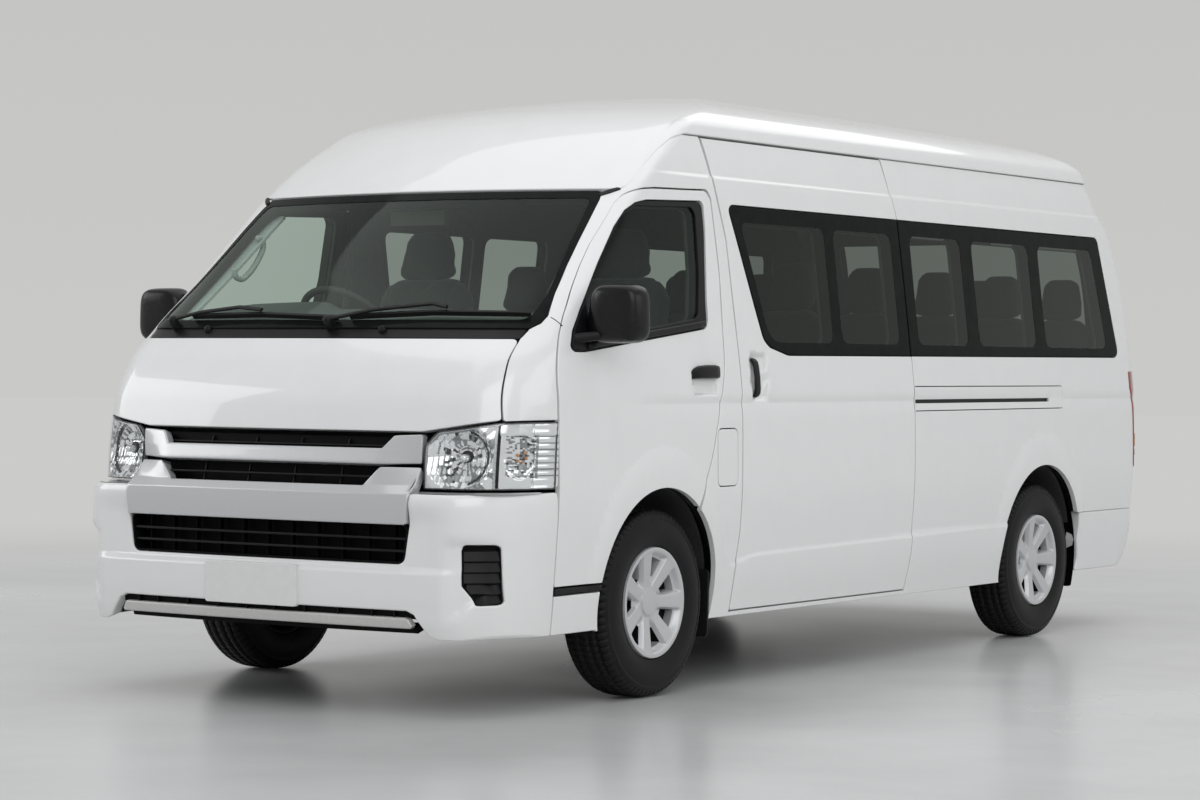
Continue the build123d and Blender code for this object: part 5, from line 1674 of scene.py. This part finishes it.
def soft_pad(name, outline, wide, voxel, taper=0.0, seams=()):
    """Blown-up pad about x = 0, at the cushion's front foot, in metres."""
    pts = np.array(rounded(outline, 22)) / 1000
    low, high = pts[:, 1].min(), pts[:, 1].max()
    rings = []
    half = wide / 2000
    for x in np.linspace(-half + 0.008, half - 0.008, 15):
        end = 1 - 0.26 * abs(x / half) ** 6
        mid = pts.mean(0)
        ring_pts = mid + (pts - mid) * end
        share = np.clip((ring_pts[:, 1] - low) / (high - low), 0, 1)
        narrowed = 1 - taper * smooth(share, 0.15 if wide < 300 else 0.55, 1.0)
        rings.append(np.stack([x * narrowed, ring_pts[:, 0], ring_pts[:, 1]], -1))
    obj = loft(name, rings, FABRIC)
    bpy.context.view_layer.objects.active = obj
    rebuild = obj.modifiers.new("rebuild", "REMESH")
    rebuild.mode, rebuild.voxel_size = "VOXEL", voxel
    apply_all(obj)
    start = np.array([v.co[:] for v in obj.data.vertices])
    cloth = obj.modifiers.new("cloth", "CLOTH")
    cloth.settings.quality = 5
    cloth.settings.use_pressure = True
    cloth.settings.uniform_pressure_force = 4.0
    cloth.settings.effector_weights.gravity = 0.0
    cloth.settings.tension_stiffness = cloth.settings.compression_stiffness = 25
    cloth.point_cache.frame_start, cloth.point_cache.frame_end = 1, 20
    for f in range(1, 21):
        bpy.context.scene.frame_set(f)
    apply_all(obj)
    bpy.context.scene.frame_set(1)
    moved = np.array([v.co[:] for v in obj.data.vertices])
    step = moved - start
    far = np.linalg.norm(step, axis=1, keepdims=True)
    moved = start + step * np.minimum(1, 0.024 / np.maximum(far, 1e-9))
    low, high = start.min(0) - 0.006, start.max(0) + 0.006
    moved = np.clip(moved, low, high)
    for k, v in enumerate(obj.data.vertices):
        v.co = moved[k]
    polish = obj.modifiers.new("polish", "SMOOTH")
    polish.factor, polish.iterations = 0.5, 3
    if voxel < FINE_VOXEL:
        fine = obj.modifiers.new("fine", "SUBSURF")
        fine.levels = fine.render_levels = 1
    apply_all(obj)
    normals = np.array([v.normal[:] for v in obj.data.vertices])
    for k, v in enumerate(obj.data.vertices):
        pull = 0.0
        for axis, at, width, deep in seams:
            pull = max(pull, deep * max(0.0, 1 - abs(abs(v.co[axis]) - at) / width))
        if pull:
            v.co = v.co - Vector(normals[k]) * pull
    obj.data.polygons.foreach_set("use_smooth", [True] * len(obj.data.polygons))
    return obj


def apply_all(obj):
    """Modifiers made real on the mesh."""
    graph = bpy.context.evaluated_depsgraph_get()
    made = bpy.data.meshes.new_from_object(obj.evaluated_get(graph))
    obj.modifiers.clear()
    obj.data = made


def copied(obj, name, x, d, z):
    """Copy of a pad whose place is in its mesh."""
    mesh = obj.data.copy()
    mesh.transform(Matrix.Translation((x / 1000, AXLE_Y + d / 1000, z / 1000)))
    twin = bpy.data.objects.new(name, mesh)
    bpy.context.scene.collection.objects.link(twin)
    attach(twin, "body")
    return twin


SEAM = 0.006
shapes = {
    "front": [soft_pad("cushion_form", CUSHION, 480, 0.012, 0, [(0, 0.150, 0.012, SEAM)]),
              soft_pad("back_form", TALL_BACK, 500, 0.012, 0.10,
                       [(0, 0.145, 0.012, SEAM), (2, 0.30, 0.012, SEAM)]),
              soft_pad("head_form", HEAD_PAD, 252, 0.011, 0.30)],
    "row": [soft_pad("row_cushion_form", CUSHION, 410, 0.016, 0, [(0, 0.125, 0.016, SEAM)]),
            soft_pad("row_back_form", LOW_BACK, 410, 0.016, 0.16, [(0, 0.120, 0.016, SEAM)]),
            soft_pad("row_head_form", HEAD_PAD, 215, 0.015, 0.26)]}
first_front, first_row = None, None
for x, d, label in ((455, -75, "left"), (-400, -130, "right")):
    for form, part in zip(shapes["front"], ("cushion", "back", "head")):
        pad = copied(form, "front_%s_%s" % (part, label), x, d, 790.3 if part == "head" else 780.3)
        first_front = first_front or pad
for row, (distance, spans) in enumerate(ROWS):
    for k, (x0, x1) in enumerate(spans):
        for form, part in zip(shapes["row"], ("cushion", "back", "head")):
            low = 690.3 if part == "head" else 770.3
            pad = copied(form, "row%d_%s_%d" % (row, part, k), (x0 + x1) / 2, distance, low)
            first_row = first_row or pad
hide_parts("front_seats")
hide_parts("passenger_seats")
for form in shapes["front"] + shapes["row"]:
    bpy.data.objects.remove(form)
stays = []
for distance, spans in ROWS:
    for x0, x1 in spans:
        for x in (x0 + 70, x1 - 70):
            for d in (70, 400):
                foot = (x / 1000, AXLE_Y + (distance + d) / 1000, 0.5205)
                stays.append(lathe("leg", [(0.011, 0), (0.011, 0.250)], foot, (0, 0, 1), STEEL, 12))
        for x in ((x0 + x1) / 2 - 55, (x0 + x1) / 2 + 55):
            stays.append(lathe("stay", [(0.006, 0), (0.006, 0.05)],
                               (x / 1000, AXLE_Y + (distance + 552) / 1000, 1.345), (0, 0, 1), STEEL, 10))
finish_piece(joined("seat_frames", stays), "body", "frame_black")

# ---- Materials of the CAD nodes that stay --------------------------------------------
CARRIED = {"cab_floor": MAT, "saloon_floor": MAT, "chassis_rails": FRAME, "engine_block": IRON,
           "exhaust": STEEL, "front_suspension": FRAME, "fuel_tank": FRAME, "knuckle_left": STEEL,
           "knuckle_right": STEEL, "leaf_springs": FRAME, "mudflaps": RUBBER, "propshaft": STEEL,
           "rear_axle": STEEL, "spare_wheel": TYRE, "steering_column": CABIN, "steering_wheel": CABIN,
           "dashboard": DASHTOP, "interior_mirror": CABIN}
for name, mat in CARRIED.items():
    slots = NODES[name].data.materials
    if not len(slots):
        slots.append(mat)
    for k in range(len(slots)):
        slots[k] = mat

# ---- Studio -------------------------------------------------------------------------
# Soft sky light; what the camera, gloss and glass see is the plain backdrop.
world = bpy.data.worlds.new("studio")
bpy.context.scene.world = world
world.use_nodes = True
tree = world.node_tree
link = tree.links.new
sky = tree.nodes["Background"]
sky.inputs["Color"].default_value = (0.93, 0.95, 1.0, 1)
sky.inputs["Strength"].default_value = 0.60
split = add(tree, "SeparateXYZ")
link(add(tree, "TexCoord").outputs["Generated"], split.inputs[0])
seen = add(tree, "Background")
link(graded(tree, split.outputs["Z"], (0.0, (0.585, 0.583, 0.575)), (0.16, (0.552, 0.550, 0.543))),
     seen.inputs["Color"])
ways = add(tree, "LightPath").outputs
bounced = maths(tree, "ADD", ways["Is Glossy Ray"], ways["Is Transmission Ray"], clamp=True)
blended(tree, maths(tree, "ADD", ways["Is Camera Ray"], bounced, clamp=True), sky.outputs[0], seen.outputs[0],
        "World Output")

# Floor that fades into the backdrop away from the vehicle.
CORNERS = [(-60, -60, 0), (60, -60, 0), (60, 60, 0), (-60, 60, 0)]
floor = new_mesh("studio_floor", CORNERS, [(0, 1, 2, 3)], None)
floor_mat, tree = new_material("studio_floor")
link = tree.links.new
base = tree.nodes["Principled BSDF"]
coords = add(tree, "TexCoord")
cloud = clouds(tree, coords, 0.55, 6)
link(graded(tree, cloud, (0.35, (0.55, 0.55, 0.54)), (0.65, (0.64, 0.64, 0.63))), base.inputs["Base Color"])
link(ranged(tree, cloud, 0.16, 0.34), base.inputs["Roughness"])
far = add(tree, "Emission", {"Color": (0.60, 0.598, 0.59, 1)})
length = add(tree, "VectorMath", operation="LENGTH")
link(coords.outputs["Object"], length.inputs[0])
ways = add(tree, "LightPath").outputs
fade = ranged(tree, length.outputs["Value"], 0.0, 1.0, 4.2, 11.0, interpolation_type="SMOOTHSTEP")
looked = maths(tree, "ADD", ways["Is Camera Ray"], ways["Is Glossy Ray"], clamp=True)
blended(tree, maths(tree, "MULTIPLY", fade, looked), base.outputs[0], far.outputs[0], "Material Output")
floor.data.materials.append(floor_mat)
floor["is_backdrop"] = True

for name, where, aim, size, power in (
        ("top", (0.5, -0.5, 7.5), (0, 0, 1), (10, 8), 170),
        ("key", (7.5, -8.0, 6.0), (0.3, -1, 0.9), (8, 6.5), 288),
        ("fill", (-8.5, -6.0, 4.5), (0, 0, 1.0), (6, 4), 150),
        ("side", (9.5, 1.0, 4.0), (0.5, 1.2, 1.1), (7, 3.5), 82),
        ("rear", (1.0, 9.0, 8.8), (0, 1.5, 1.0), (9, 5), 135)):
    data = bpy.data.lights.new(name, "AREA")
    data.shape, data.size, data.size_y, data.energy = "RECTANGLE", *size, power
    lamp = bpy.data.objects.new(name, data)
    bpy.context.scene.collection.objects.link(lamp)
    lamp.location = where
    lamp.rotation_euler = (Vector(aim) - Vector(where)).to_track_quat("-Z", "Y").to_euler()

low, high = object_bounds()
